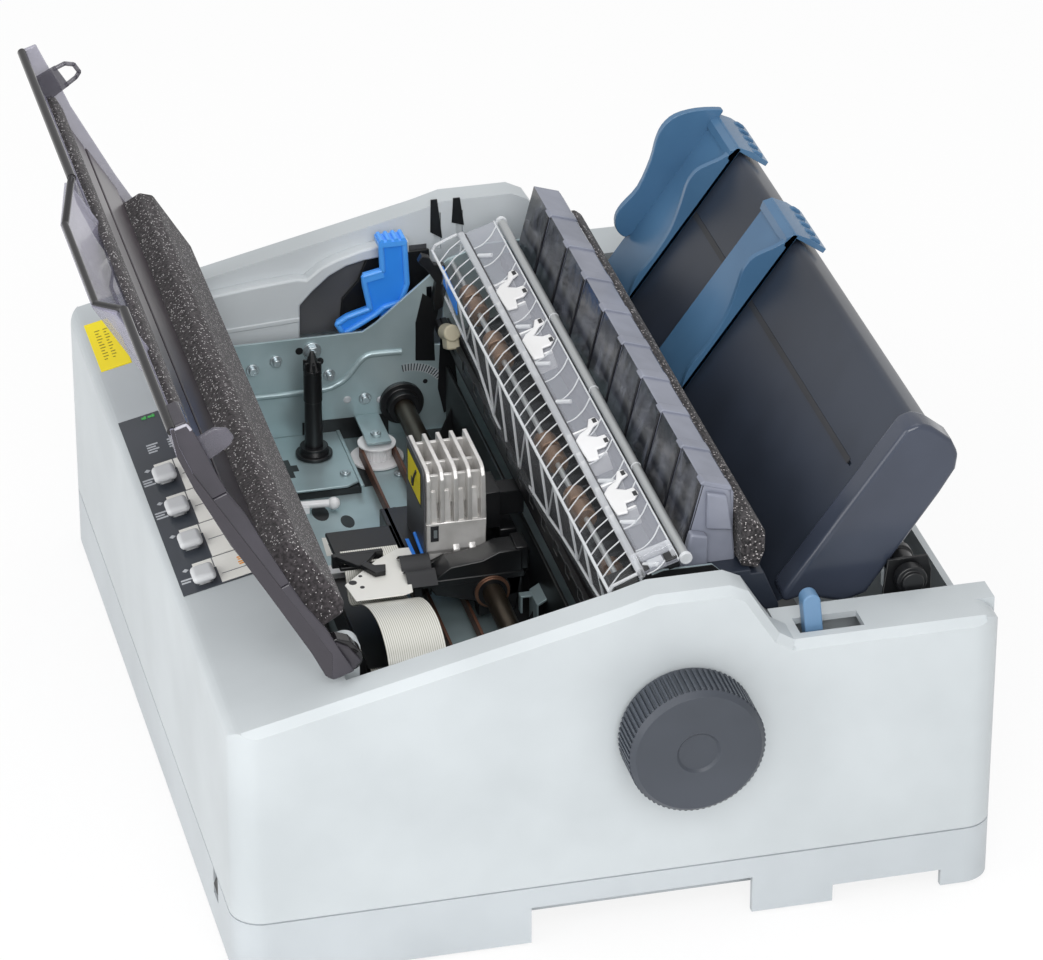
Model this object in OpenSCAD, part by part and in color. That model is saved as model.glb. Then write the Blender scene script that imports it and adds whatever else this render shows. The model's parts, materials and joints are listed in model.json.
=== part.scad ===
// Desktop dot matrix printer with its top cover raised.
// X runs across the printer (+X is the knob side), Y runs from front to back, Z is up.
// Distances along Y start at the front face of the case, and along Z at the table.

/* [Case] */
// Width of the case
case_w = 410; // [396:1:440]
// Depth of the case
case_d = 343; // [320:1:370]
// Height of the seam between the two case halves
seam_z = 30.5; // [24:0.5:40]
// Height of the deck line where it would meet the front face
deck_z = 124.5; // [110:0.5:140]
// Slope of the front deck and of the side walls, in degrees
deck_angle = 13; // [8:0.5:18]
// Depth of the front deck, up to the opening
deck_d = 54; // [40:1:70]
// Wall thickness of the case
wall = 3; // [2:0.25:4]
// Corner radius of the case in plan
corner_r = 14; // [8:1:20]
// Top of the raised shoulders beside the platen
shoulder_z = 168; // [155:1:180]
// Height of the flat deck at the back
rear_deck_z = 137; // [125:1:150]
// Width of the wall tops beside the opening
wall_top_w = 17; // [12:0.5:24]

/* [Cover] */
// Height of the hinge axis
hinge_z = 146; // [140:0.5:150]
// Distance of the hinge axis from the front face
hinge_y = 56; // [50:0.5:62]
// Angle of the raised cover above the horizontal, towards the front
open_angle = 121; // [100:1:130]
// Length of the cover from the hinge to its free edge
cover_l = 144; // [130:1:160]
// Width of the cover
cover_w = 384; // [360:1:400]
// Radius of the hinge pins
hinge_pin_r = 3; // [2:0.25:4]

/* [Platen] */
// Distance of the platen axis from the front face
platen_y = 198.5; // [190:0.5:205]
// Height of the platen axis
platen_z = 103.5; // [95:0.5:110]
// Radius of the platen rubber
platen_r = 18; // [15:0.5:20]
// Length of the platen rubber
platen_l = 300; // [280:1:310]
// Radius of the platen shaft
shaft_r = 6; // [4:0.5:8]
// Radius of the paper feed knob
knob_r = 30.4; // [25:0.1:34]
// Thickness of the paper feed knob
knob_t = 22.5; // [16:0.5:28]
// Number of grip ribs round the knob
knob_ribs = 72; // [48:1:90]

/* [Carriage] */
// Distance of the carriage rod from the front face
rod_y = 156.5; // [150:0.5:160]
// Height of the carriage rod
rod_z = 75; // [70:0.5:80]
// Radius of the carriage rod
rod_r = 5; // [4:0.25:6]
// Middle of the print head at rest
head_x = -8; // [-60:1:60]
// Distance of the belt pulleys from the middle of the printer
belt_x = 138; // [130:1:145]
// Distance of the belt pulleys from the front face
belt_y = 139; // [136:0.5:142]
// Radius of the belt's inner face on a pulley
belt_r = 7.3; // [6:0.1:9]

/* [Panel] */
// Distance between neighbouring buttons
button_pitch = 31.1; // [26:0.1:34]
// Position of the first button across the printer
button_x = -17.3; // [-30:0.1:0]
// Distance of the buttons from the front edge, along the deck
button_v = 15; // [12:0.5:20]
// Travel of a button
button_travel = 1.2; // [0.8:0.1:1.4]

/* [Sheet guide] */
// Angle of the sheet guide above the horizontal
sheet_angle = 54; // [50:1:64]
// Length of the sheet guide's face
sheet_l = 102; // [90:1:115]
// Half the width of the sheet guide
sheet_hw = 157; // [145:1:160]
// Width of an edge guide
edge_w = 40; // [34:1:46]

/* [Hidden] */
$fn = 48;
run_fit = 0.05;
seam_groove = 0.8;
frame_x = 161.4;
frame_t = 1.6;
floor_z = 20;
floor_t = 3;
plate_z = 56;
plate_t = 1.6;
plate_top = plate_z + plate_t;
tan_d = tan(deck_angle);
knob_x0 = case_w / 2 + 1.5;
knob_x1 = knob_x0 + knob_t;
bulge_h = 12.5;
back_out = 1.2;
front_y = hinge_y + (cover_l - 3) * cos(open_angle) - bulge_h * sin(open_angle);
mid_x = (knob_x1 - case_w / 2) / 2;
mid_y = (front_y + case_d + back_out) / 2;
lip_in = case_w / 2 - wall_top_w;
rear_in = 174;
gear_x0 = 166;
gear_w = 5;
gear_tilt = atan2(-24, 18);
idler_y = platen_y + 18;
idler_z = platen_z - 24;
pinion_y = idler_y + 10.8;
pinion_z = idler_z - 14.4;
tube_y = 210;
tube_z = 165;
tube_r = 3.2;
roller_r = 5;
nip = 0.35;
roller_angle = 106;
roller_y = platen_y + (platen_r + roller_r + nip) * cos(roller_angle);
roller_z = platen_z + (platen_r + roller_r + nip) * sin(roller_angle);
tractor_y = 311;
tractor_z = 139;
sheet_y = 253.2;
sheet_z = 129.3;
switch_x = 160;
switch_y = 6.8;
switch_z = 23.2;
switch_r = 7.1;
lever_y = 266.5;
lever_z = 70;
lever_x0 = case_w / 2 - 18;
lever_x1 = lever_x0 + 7.5;
hinge_post_x = cover_w / 2 - 19.4;
hinge_post_w = 6;
knuckle_x = hinge_post_x + hinge_post_w + 0.6;
knuckle_w = 6.8;
lever_lean = 6.3;
post_x = -140;
post_y = 108.3;
cable_y0 = 92.4;
cable_w = 27;
cable_bend_x = 88;
carr_x0 = head_x - 36;
carr_x1 = head_x + 36;
fork_x = [-150, -110, -10, 50, 110];

// Shared shapes

// Moves the printer so that the middle of its footprint is at the origin
module in_row() {
  translate([-mid_x, -mid_y, 0]) children();
}

// A YZ outline swept along X
module slab(x0, x1) {
  translate([x0, 0, 0]) rotate([90, 0, 90]) linear_extrude(x1 - x0) children();
}

// A cylinder along X
module rod(x0, x1, y, z, r) {
  translate([x0, y, z]) rotate([0, 90, 0]) cylinder(h = x1 - x0, r = r);
}

function arc(cy, cz, r, a0, a1, n) =
  [for (i = [0 : n]) [cy + r * cos(a0 + (a1 - a0) * i / n), cz + r * sin(a0 + (a1 - a0) * i / n)]];

module plan(inset) {
  w = case_w - 2 * inset;
  d = case_d - 2 * inset;
  r = corner_r - inset;
  translate([-w / 2, inset]) {
    translate([r, 0]) square([w - 2 * r, d]);
    translate([0, r]) square([w, d - 2 * r]);
    for (x = [r, w - r], y = [r, d - r]) translate([x, y]) circle(r);
  }
}

// Outline of the case from the side, lowered by t and drawn in by t at both ends
module side_outline(t) {
  r = 7 - t;
  ry = 7;
  rz = deck_z + ry * tan_d - 7 / cos(deck_angle);
  rr = 10 - t;
  polygon(concat(
    [[t, seam_z]],
    arc(ry, rz, r, 180, 90 + deck_angle, 6),
    [[171, deck_z + 171 * tan_d - t], [185, shoulder_z - t], [219, shoulder_z - t],
     [227 - t * 0.5, 164 - t], [235 - t, 151 - t * 0.6], [241 - t, 141.5 - t * 0.6],
     [248 - t * 0.5, rear_deck_z - t]],
    arc(case_d - 10, rear_deck_z - 10, rr, 90, 0, 6),
    [[case_d - t, seam_z]]
  ));
}

// The front deck and the back wall between the side walls
module middle_outline(t) {
  r = 7 - t;
  rz = deck_z + 7 * tan_d - 7 / cos(deck_angle);
  polygon(concat(
    [[t, seam_z]],
    arc(7, rz, r, 180, 90 + deck_angle, 6),
    [[deck_d - t * 0.67, deck_z + (deck_d - t) * tan_d - t], [deck_d - t * 0.67, seam_z]]
  ));
}

// A strip of material along a sloping top edge, taken off to round it
module edge_strip(y0, z0, y1, z1, c) {
  run_on = 0.6;
  len = sqrt(pow(y1 - y0, 2) + pow(z1 - z0, 2)) + 2 * run_on;
  a = atan2(z1 - z0, y1 - y0);
  translate([case_w / 2, y0, z0]) rotate([a, 0, 0]) translate([0, len - run_on, 0]) rotate([90, 0, 0])
    linear_extrude(len) polygon([[-c, 0.01], [0.01, -c], [2, -c], [2, 3], [-c, 3]]);
}

module edge_strips(c) {
  edge_strip(6, deck_z + 6 * tan_d, 171, deck_z + 171 * tan_d, c);
  edge_strip(171, deck_z + 171 * tan_d, 185, shoulder_z, c);
  edge_strip(185, shoulder_z, 219, shoulder_z, c);
  edge_strip(219, shoulder_z, 227, 164, c);
  edge_strip(227, 164, 235, 151, c);
  edge_strip(235, 151, 241, 141.5, c);
  edge_strip(241, 141.5, 248, rear_deck_z, c);
  edge_strip(248, rear_deck_z, case_d - 9, rear_deck_z, c);
}

// Frame of the sloping deck: X across, Y up the slope, Z out of the deck
module on_deck() {
  translate([0, 0, deck_z]) rotate([deck_angle, 0, 0]) children();
}

// Frame of the raised cover: Y from the hinge to the free edge, Z outwards
module in_cover() {
  translate([0, hinge_y, hinge_z]) rotate([open_angle, 0, 0]) children();
}

// Frame of the sheet guide: Y up its face, Z out of its face
module on_sheet() {
  translate([0, sheet_y, sheet_z]) rotate([sheet_angle, 0, 0]) children();
}

// A toothed wheel of module 1 along X, with a tooth pointing at angle a
module gear(x0, x1, y, z, teeth, a) {
  rp = teeth / 2;
  step = 360 / teeth;
  h_root = 0.95 / (rp - 1.2) * 57.3;
  h_pitch = 0.62 / rp * 57.3;
  h_tip = 0.3 / (rp + 0.8) * 57.3;
  translate([x0, y, z]) rotate([90, 0, 90]) linear_extrude(x1 - x0) rotate(a)
    polygon([for (i = [0 : teeth - 1], p = [[-h_root, rp - 1.2], [-h_pitch, rp], [-h_tip, rp + 0.8],
      [h_tip, rp + 0.8], [h_pitch, rp], [h_root, rp - 1.2]])
      [p[1] * cos(i * step + p[0]), p[1] * sin(i * step + p[0])]]);
}

// Case

module lower_case() {
  color("#BFC5C9") in_row() difference() {
    union() {
      difference() {
        translate([0, 0, 1.5]) linear_extrude(seam_z - 1.5) plan(0);
        translate([0, 0, 1]) linear_extrude(floor_z - 1) plan(wall);
        translate([0, 0, floor_z + floor_t]) linear_extrude(30) plan(wall);
        // a shadow line under the seam
        translate([0, 0, seam_z - seam_groove]) difference() {
          linear_extrude(2) plan(-1);
          translate([0, 0, -1]) linear_extrude(4) plan(seam_groove);
        }
      }
      // tongue inside the upper half
      translate([0, 0, floor_z + floor_t]) linear_extrude(seam_z + 3.5 - floor_z - floor_t)
        difference() {
          plan(wall + 0.3);
          plan(wall + 2.3);
        }
      // pads that hold the feet
      for (x = [-170, 170], y = [30, 312]) translate([x, y, 1.5]) cylinder(h = floor_z, r = 11);
      // inner skirts seen through the side cut-outs
      for (x = [-case_w / 2 + 15, case_w / 2 - 17]) translate([x, 120, 8]) cube([2, 122, floor_z - 7]);
    }
    // hand and cable cut-outs in both sides
    for (x = [-case_w / 2 - 1, case_w / 2 - 5]) {
      translate([x, 131, 0]) cube([6, 100, floor_z - 0.4]);
      translate([x, 268, 0]) cube([6, 50, 9.8]);
    }
    for (x = [-170, 170], y = [30, 312]) translate([x, y, 1]) cylinder(h = 3, r = 8);
    // opening and room for the power switch
    translate([switch_x - 5, -1, switch_z - 6.4]) cube([10, 6, 12.8]);
    translate([switch_x - 8.3, wall, switch_z - 9.8]) cube([16.6, 19.4, 30]);
  }
}

module rubber_feet() {
  color("#2B2C2E") in_row()
    for (x = [-170, 170], y = [30, 312]) translate([x, y, 0]) cylinder(h = 4, r = 8);
}

module upper_case() {
  hw = case_w / 2;
  color("#C8CDD0") in_row() difference() {
    union() {
      difference() {
        intersection() {
          translate([0, 0, seam_z]) linear_extrude(200) plan(0);
          union() {
            slab(lip_in, hw) side_outline(0);
            slab(-hw, -lip_in) side_outline(0);
            slab(-lip_in, lip_in) middle_outline(0);
            // side strips of the rear deck
            for (x = [[rear_in, lip_in], [-lip_in, -rear_in]]) translate([x[0], 244, seam_z])
              cube([x[1] - x[0], case_d - 244, rear_deck_z - seam_z]);
            // low back wall under the paper path
            translate([-rear_in, case_d - wall, seam_z]) cube([2 * rear_in, wall, 112 - seam_z]);
          }
        }
        // the hollow inside, following the outline
        intersection() {
          translate([0, 0, seam_z - 1]) linear_extrude(200) plan(wall);
          union() {
            translate([-hw, 0, seam_z - 2]) cube([case_w, case_d, 112 - seam_z]);
            slab(lip_in + 2, hw) side_outline(wall);
            slab(-hw, -lip_in - 2) side_outline(wall);
            slab(-lip_in - 1, lip_in + 1) middle_outline(wall);
            for (x = [[rear_in + 2, lip_in + 3], [-lip_in - 3, -rear_in - 2]])
              translate([x[0], 251, seam_z]) cube([x[1] - x[0], case_d, rear_deck_z - seam_z - wall]);
          }
        }
        for (m = [0, 1]) mirror([m, 0, 0]) edge_strips(3.6);
      }
      // posts that carry the cover's hinge pins
      for (m = [0, 1]) mirror([m, 0, 0]) difference() {
        union() {
          translate([hinge_post_x, 49, 124]) cube([hinge_post_w, 13, hinge_z - 124]);
          rod(hinge_post_x, hinge_post_x + hinge_post_w, hinge_y, hinge_z, 6.5);
        }
        rod(hinge_post_x - 1, hinge_post_x + hinge_post_w + 1, hinge_y, hinge_z, hinge_pin_r + run_fit);
      }
      // pin for the release lever
      rod(lever_x0 - 3, hw - 1, lever_y, lever_z, 3);
    }
    rod(hw - 15, hw + 5, platen_y, platen_z, 9);
    // slot for the release lever
    translate([lever_x0 - 2.5, 252, rear_deck_z - 6]) cube([lever_x1 - lever_x0 + 5, 29, 12]);
    // openings for the mains inlet and the interface connector
    translate([120, case_d - 5, 40]) cube([28, 8, 22]);
    translate([-150, case_d - 5, 40]) cube([56, 8, 14]);
    // button stems
    on_deck() for (i = [0 : 3]) translate([button_x + i * button_pitch - 3.3, button_v - 3.3, -6])
      cube([6.6, 6.6, 8]);
    // two slots beside the left end of the platen
    for (y = [180, 191]) translate([-lip_in - 1.9, y, 142]) cube([2.1, 3.4, 20]);
    // vents at the back and in the left side
    for (i = [0 : 11]) translate([-60 + i * 10, case_d - 5, 60]) cube([4, 8, 34]);
    for (i = [0 : 9]) translate([-hw - 1, 70 + i * 9, 50]) cube([5, 4, 26]);
  }
}

module control_panel_plate() {
  color("#3F444D") in_row() on_deck() difference() {
    translate([-80, 3.6, 0]) cube([163.5, 34, 0.5]);
    for (i = [0 : 3]) translate([button_x + i * button_pitch - 3.3, button_v - 3.3, -1])
      cube([6.6, 6.6, 3]);
  }
}

module panel_labels() {
  color("#F2F1EA") in_row() on_deck() for (i = [0 : 3])
    translate([button_x + i * button_pitch, 0, 0.5]) difference() {
      union() {
        translate([-13, 21.5, 0]) cube([26, 15, 0.25]);
        translate([-13, 9.5, 0]) cube([5.5, 12, 0.25]);
      }
      // a fine gap between the two halves of each label
      translate([0.5, 23, 0.12]) cube([0.5, 14, 1]);
    }
}

module indicator_lenses() {
  color("#3FAE4E") in_row() on_deck() for (v = [15.5, 19.5, 23.5])
    translate([-78, v, 0.5]) cube([2.6, 1.3, 0.3]);
}

module blank_label() {
  color("#FFF200") in_row() on_deck() translate([-181, 4.8, 0.02]) cube([49, 15.3, 0.2]);
}

// Printer mechanism: fixed parts

module chassis_base() {
  color("#A9BDC0") in_row() {
    difference() {
      union() {
        translate([-frame_x, 66, plate_z]) cube([2 * frame_x, 134, plate_t]);
        // folded legs that stand on the case floor
        for (x = [-150, 60, 140], y = [66, 198.4])
          translate([x - 6, y, floor_z + floor_t]) cube([12, plate_t, plate_z - floor_z - floor_t]);
      }
      translate([belt_x, belt_y, plate_z - 1]) cylinder(h = 4, r = 11.5);
      // oval openings
      for (p = [[-70, 90], [-70, 100], [30, 170], [90, 175], [-100, 175]]) {
        translate([p[0] - 6, p[1] - 2.5, plate_z - 1]) cube([12, 5, 4]);
        for (s = [-6, 6]) translate([p[0] + s, p[1], plate_z - 1]) cylinder(h = 4, r = 2.5);
      }
      translate([-110, 140, plate_z - 1]) cylinder(h = 4, r = 5);
      translate([-30, 152, plate_z - 1]) cylinder(h = 4, r = 6);
    }
    // rail that carries the front of the carriage
    translate([-frame_x, 124, plate_top]) cube([2 * frame_x, 1.4, 73.2 - plate_top]);
    translate([-frame_x, 120, 72]) cube([2 * frame_x, 4, 1.2]);
    // raised table under the ribbon drive
    difference() {
      union() {
        translate([-frame_x, 84, 61.5]) cube([47, 40, 1.2]);
        translate([-frame_x, 90, 61.5]) cube([53, 30, 1.2]);
        for (x = [-frame_x, -120], y = [86, 115]) translate([x, y, plate_top])
          cube([6, 6, 61.5 - plate_top]);
      }
      translate([post_x, post_y, 60]) cylinder(h = 4, r = 3 + run_fit);
      translate([-128, 92, 60]) cube([8, 5, 4]);
      translate([-154, 112, 60]) cylinder(h = 4, r = 2);
    }
  }
}

module frame_outline() {
  difference() {
    polygon([[66, floor_z + floor_t], [66, 110], [70, 115.5], [138, 115.5], [144.5, 119.5],
      [181, 150], [200, 156], [222, 156], [228, 150], [228, 122], [236, 112], [298, 112],
      [302, 147], [320, 147], [322, 140], [322, floor_z + floor_t]]);
    translate([rod_y, rod_z]) circle(rod_r);
    translate([platen_y, platen_z]) circle(8);
    translate([tractor_y, tractor_z]) circle(5 + run_fit);
    // upright opening beside the platen
    translate([170, 104]) square([8, 32]);
  }
}

module left_side_frame() {
  color("#A9BDC0") in_row() slab(-frame_x - frame_t, -frame_x) frame_outline();
}

module right_side_frame() {
  color("#A9BDC0") in_row() {
    slab(frame_x, frame_x + frame_t) difference() {
      frame_outline();
      translate([pinion_y, pinion_z]) circle(4);
    }
    // fixed pin of the middle feed gear
    rod(frame_x + frame_t, 172, idler_y, idler_z, 2.5);
  }
}

module platen_bearings() {
  color("#2E2F31") in_row() for (m = [0, 1]) mirror([m, 0, 0]) difference() {
    union() {
      rod(frame_x - 2, frame_x + 3.4, platen_y, platen_z, 8);
      rod(frame_x - 3.5, frame_x, platen_y, platen_z, 10.5);
    }
    rod(frame_x - 5, frame_x + 5, platen_y, platen_z, shaft_r + run_fit);
  }
}

module carriage_rod() {
  color("#8F8F90") in_row() rod(-178, 168, rod_y, rod_z, rod_r);
}

module rod_collars() {
  color("#1F2022") in_row() for (m = [0, 1]) mirror([m, 0, 0]) difference() {
    union() {
      rod(frame_x - 3, frame_x, rod_y, rod_z, 11);
      rod(frame_x - 8, frame_x - 3, rod_y, rod_z, 8);
    }
    rod(frame_x - 9, frame_x + 1, rod_y, rod_z, rod_r);
  }
}

module belt_loop(r) {
  for (x = [-belt_x, belt_x]) translate([x, belt_y]) circle(r);
  translate([-belt_x, belt_y - r]) square([2 * belt_x, 2 * r]);
}

module drive_belt() {
  color("#4A3027") in_row() translate([0, 0, 59.5]) linear_extrude(6) difference() {
    belt_loop(belt_r + 1.4);
    belt_loop(belt_r);
  }
}

module idler_bracket() {
  color("#A9BDC0") in_row() {
    translate([-frame_x, 133, 69]) cube([30, 12, 1.2]);
    translate([-belt_x, belt_y, plate_top]) cylinder(h = 70.9 - plate_top, r = 2);
  }
}

module carriage_motor() {
  color("#3B3C3F") in_row() translate([belt_x, belt_y, 0]) difference() {
    union() {
      translate([0, 0, floor_z + floor_t]) cylinder(h = 30, r = 21);
      translate([0, 0, 53]) cylinder(h = 3, r = 8);
    }
    translate([0, 0, 40]) cylinder(h = 20, r = 2.5 + run_fit);
  }
}

module feed_motor() {
  color("#3B3C3F") in_row() difference() {
    union() {
      rod(128, frame_x, pinion_y, pinion_z, 17.5);
      translate([frame_x - 2, pinion_y - 24, pinion_z - 6]) cube([2, 48, 12]);
    }
    rod(148, frame_x + 1, pinion_y, pinion_z, 2 + run_fit);
  }
}

module main_board() {
  color("#2F6B45") in_row() {
    translate([-148, 72, 28]) cube([138, 120, 1.6]);
    for (x = [-142, -16], y = [78, 186]) translate([x, y, floor_z + floor_t])
      cylinder(h = 28 - floor_z - floor_t, r = 3);
    for (p = [[-130, 90, 24, 24, 3], [-90, 90, 30, 14, 4], [-90, 120, 30, 14, 4], [-40, 90, 16, 30, 5],
      [-130, 140, 40, 12, 8], [-70, 150, 18, 18, 12]])
      translate([p[0], p[1], 29.6]) cube([p[2], p[3], p[4]]);
    for (x = [-40, -26], y = [140, 156]) translate([x, y, 29.6]) cylinder(h = 16, r = 5);
  }
}

module power_supply() {
  color("#B4B9BB") in_row() difference() {
    translate([0, 78, floor_z + floor_t]) cube([108, 108, 28]);
    for (i = [0 : 8]) translate([10 + i * 10, 77, floor_z + 12]) cube([5, 110, 10]);
  }
}

module ac_inlet() {
  color("#232426") in_row() difference() {
    union() {
      translate([120.3, case_d - 20, 40.3]) cube([27.4, 20, 21.4]);
      translate([116, case_d, 37]) cube([36, back_out, 28]);
    }
    translate([123.5, case_d - 14, 43]) cube([21, 20, 16]);
  }
}

module interface_connector() {
  color("#5B5E62") in_row() difference() {
    union() {
      translate([-149.7, case_d - 16, 40.3]) cube([55.4, 16, 13.4]);
      translate([-154, case_d, 38]) cube([64, back_out, 18]);
    }
    translate([-146, case_d - 10, 43]) cube([48, 14, 8]);
  }
}

module switch_housing() {
  color("#232426") in_row() difference() {
    translate([switch_x - 8, wall, switch_z - 9.5]) cube([16, 19, 19]);
    translate([switch_x - 5, 0, switch_z - 7.5]) cube([10, 17, 15]);
    rod(switch_x - 7.2, switch_x + 7.2, switch_y, switch_z, 1.5 + run_fit);
  }
}

module paper_bail_bar() {
  color("#26272A") in_row() difference() {
    union() {
      translate([-frame_x, 176.4, 110.6]) cube([2 * frame_x, 3, 8]);
      translate([-frame_x, 174, 112]) cube([7, 7, 6]);
      translate([frame_x - 7, 174, 112]) cube([7, 7, 6]);
    }
    for (i = [-6 : 6]) translate([i * 22 - 4, 176, 114]) cube([8, 1, 10]);
  }
}

module tension_rib() {
  polygon([[173.5, 153], [177.5, 128.5], [181, 128.5], [186, 134], [196, 148], [204.6, 161], [204.6, 163.5],
    [176, 154.8]]);
}

module tension_unit() {
  color([0.9, 0.93, 0.95, 0.35]) in_row() difference() {
    union() {
      // sloping top skin and front lip
      slab(-166, 170) polygon([[173.5, 153], [176, 154.8], [205.6, 164.2], [205.6, 165.7], [176, 156.3],
        [173.5, 155]]);
      slab(-166, 170) polygon([[173.5, 145], [174.7, 145], [174.7, 155], [173.5, 155]]);
      // lower front rail and upper spine
      translate([-160.6, 177.6, 128.5]) cube([321.2, 2, 2]);
      slab(-164, 168) polygon([[188, 159.9], [191, 160.8], [191, 163.4], [188, 162.4]]);
      // ribs
      for (i = [-8 : 8]) slab(i * 20 - 0.6, i * 20 + 0.6) tension_rib();
      // slanted struts of the front lattice
      for (i = [-8 : 7], s = [-1, 1]) translate([i * 20 + 10, 174.2, 153.5]) rotate([14, 0, 0])
        rotate([0, s * 21.6, 0]) translate([-0.6, 0, -26]) cube([1.2, 1.2, 26]);
      // eyes that hold the tube
      for (x = [-166, -80, 0, 80, 164]) {
        rod(x, x + 4, tube_y, tube_z, tube_r + 0.8);
      }
      // pads that rest on the side frames
      for (x = [-164, 160.4]) slab(x, x + 3.6) polygon([[186, 151.58], [200, 156], [200, 163.5], [186, 159]]);
    }
    rod(-168, 172, tube_y, tube_z, tube_r);
    // cut the struts where they pass below the lower rail
    translate([-170, 170, 100]) cube([340, 40, 28.5]);
  }
}

module tension_tube() {
  color("#B9BEC2") in_row() rod(-168, 172, tube_y, tube_z, tube_r);
}

module tension_forks() {
  color("#F0F0EC") in_row() for (x = fork_x) difference() {
    union() {
      for (s = [-9, -1, 7]) slab(x + s, x + s + 2) polygon([[roller_y - 3.4, roller_z - 2],
        [roller_y + 3.4, roller_z - 2], [200, 150], [202.5, 163.21], [192, 159.88], [186, 140]]);
      slab(x - 9, x + 9) polygon([[192, 157.4], [202, 160.6], [202, 163.06], [192, 159.88]]);
    }
    rod(x - 20, x + 20, roller_y, roller_z, 1.5 + run_fit);
  }
}

module separator_outline(t) {
  polygon([[210.5 + t * 1.1, 150], [220.6 + t, 190 - t], [233 - t, 186 - t], [236 - t, 150]]);
}

module separator_bar() {
  pitch = 33.4;
  color([0.36, 0.37, 0.41, 0.7]) in_row() difference() {
    union() {
      slab(-150, 150.6) separator_outline(0.7);
      for (i = [0 : 8]) slab(-150 + i * pitch, -150 + i * pitch + pitch - 1) separator_outline(0);
    }
    // hollow segments with walls between them
    for (i = [0 : 8]) slab(-148 + i * pitch, -150.5 + i * pitch + pitch) difference() {
      separator_outline(2.2);
      translate([200, 140]) square([50, 9.99]);
    }
  }
}

module separator_foam() {
  color("#4A4648") in_row() slab(-158, 165) polygon([[236.2, 150], [240, 150], [240, 148], [243, 148],
    [246.5, 156], [246.5, 168], [243, 171], [235, 171]]);
}

module rear_guide_frame() {
  color("#2C2E33") in_row() slab(-frame_x, frame_x)
    polygon([[207, 150], [240, 150], [240, 148], [246, 148], [253, 131], [253, 126], [270, 113],
      [262, 113], [238, 139], [207, 143]]);
}

module sheet_side() {
  polygon(concat([[0, 0], [9, -5], [17, -26]], arc(90, -16, 10, -90, 0, 4), arc(sheet_l - 4, -4, 4, 0, 90, 4)));
}

module sheet_guide() {
  color("#3F444D") in_row() on_sheet() difference() {
    slab(-sheet_hw, sheet_hw) sheet_side();
    // hollow back, stiffened by ribs
    for (i = [0 : 9]) slab(-sheet_hw + 2.5 + i * 31.2, -sheet_hw + 31.7 + i * 31.2)
      polygon(concat([[8, -3], [20, -30], [88, -30]], arc(89, -15, 8, -90, 0, 4), [[97, -3]]));
    // long groove for the edge guides
    translate([-153, 64.5, -1.2]) cube([290, 1.6, 3]);
  }
}

module cable_socket() {
  color("#EDEDE6") in_row() difference() {
    translate([-34, cable_y0 - 2, plate_top]) cube([8, cable_w + 4, 5]);
    translate([-30, cable_y0 - 0.3, plate_top + 0.1]) cube([6, cable_w + 0.6, 1]);
  }
}

module head_cable() {
  top = 84.3;
  bend = cable_bend_x;
  r = 13.2;
  t = 0.5;
  zc = top + t / 2 - r;
  color("#EDEDE6") in_row() translate([0, cable_y0 + cable_w, 0]) rotate([90, 0, 0])
    linear_extrude(cable_w) {
      translate([head_x - 20, top]) square([bend - head_x + 20, t]);
      translate([-30, zc - r - t / 2]) square([bend + 30, t]);
      difference() {
        translate([bend, zc]) circle(r + t / 2);
        translate([bend, zc]) circle(r - t / 2);
        translate([bend - 40, zc - 20]) square([40, 40]);
      }
    }
}

module frame_screws() {
  color("#8C9296") in_row() for (m = [0, 1]) mirror([m, 0, 0])
    for (p = [[96, 108], [120, 104], [98, 78], [140, 96], [245, 100], [285, 100]]) {
      rod(frame_x - 2.2, frame_x, p[0], p[1], 3.2);
    }
}

// Carriage

module carriage() {
  color("#232427") in_row() difference() {
    union() {
      rod(carr_x0, carr_x1, rod_y, rod_z, 9);
      translate([carr_x0, 121, 80.5]) cube([72, 51, 3.5]);
      // foot that slides along the front rail
      translate([carr_x0, 119.5, 73.5]) cube([72, 4.3, 10.5]);
      // arm under the head cable
      translate([head_x - 20, 90, 82]) cube([34, 32, 2]);
      // cheeks beside the print head
      for (x = [head_x - 23, head_x + 19.4]) translate([x, 136, 84]) cube([3.6, 33, 18]);
      translate([head_x - 12, 166, 84]) cube([24, 8, 9]);
      // jaws that hold the belt
      translate([head_x - 8, 127.4, 60]) cube([16, 2.5, 22]);
      translate([head_x - 8, 132.1, 60]) cube([16, 2.4, 22]);
    }
    rod(carr_x0 - 1, carr_x1 + 1, rod_y, rod_z, rod_r + run_fit);
  }
}

module print_head() {
  hx = head_x - 19;
  color("#A5A09A") in_row() difference() {
    union() {
      // five upright cooling fins
      for (i = [0 : 4]) translate([hx, 130 + i * 6.4, 86]) cube([38, 2.4, 45]);
      // solid core and base
      translate([hx, 130, 84]) cube([38, 28, 8]);
      translate([hx, 130, 84]) cube([32, 28, 40]);
      // cross ribs on top
      translate([hx + 33.5, 130, 86]) cube([2.5, 28, 41]);
      translate([hx + 15, 130, 86]) cube([2, 28, 42]);
      translate([hx, 130, 86]) cube([38, 1.6, 45]);
    }
    // fins fall away towards the base of the near face
    translate([hx + 36.2, 131.6, 84]) cube([4, 28, 8]);
    // small socket in the front
    translate([hx + 32, 131.6, 96]) cube([8, 3.4, 7]);
  }
}

module head_nose() {
  color("#2A2B2E") in_row() {
    translate([head_x - 10, 158, 93]) cube([20, 9, 19]);
    translate([head_x - 6, 167, 97]) cube([12, 12, 12]);
  }
}

module cable_clamp() {
  color("#1E1F21") in_row() {
    translate([head_x + 2, 90, 85.1]) cube([12, 31, 1.6]);
    translate([head_x + 2, 119.7, 84]) cube([12, 1.3, 1.1]);
    translate([head_x + 2, 90, 84]) cube([12, 1.3, 1.1]);
  }
}

// Turning parts of the mechanism

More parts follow.
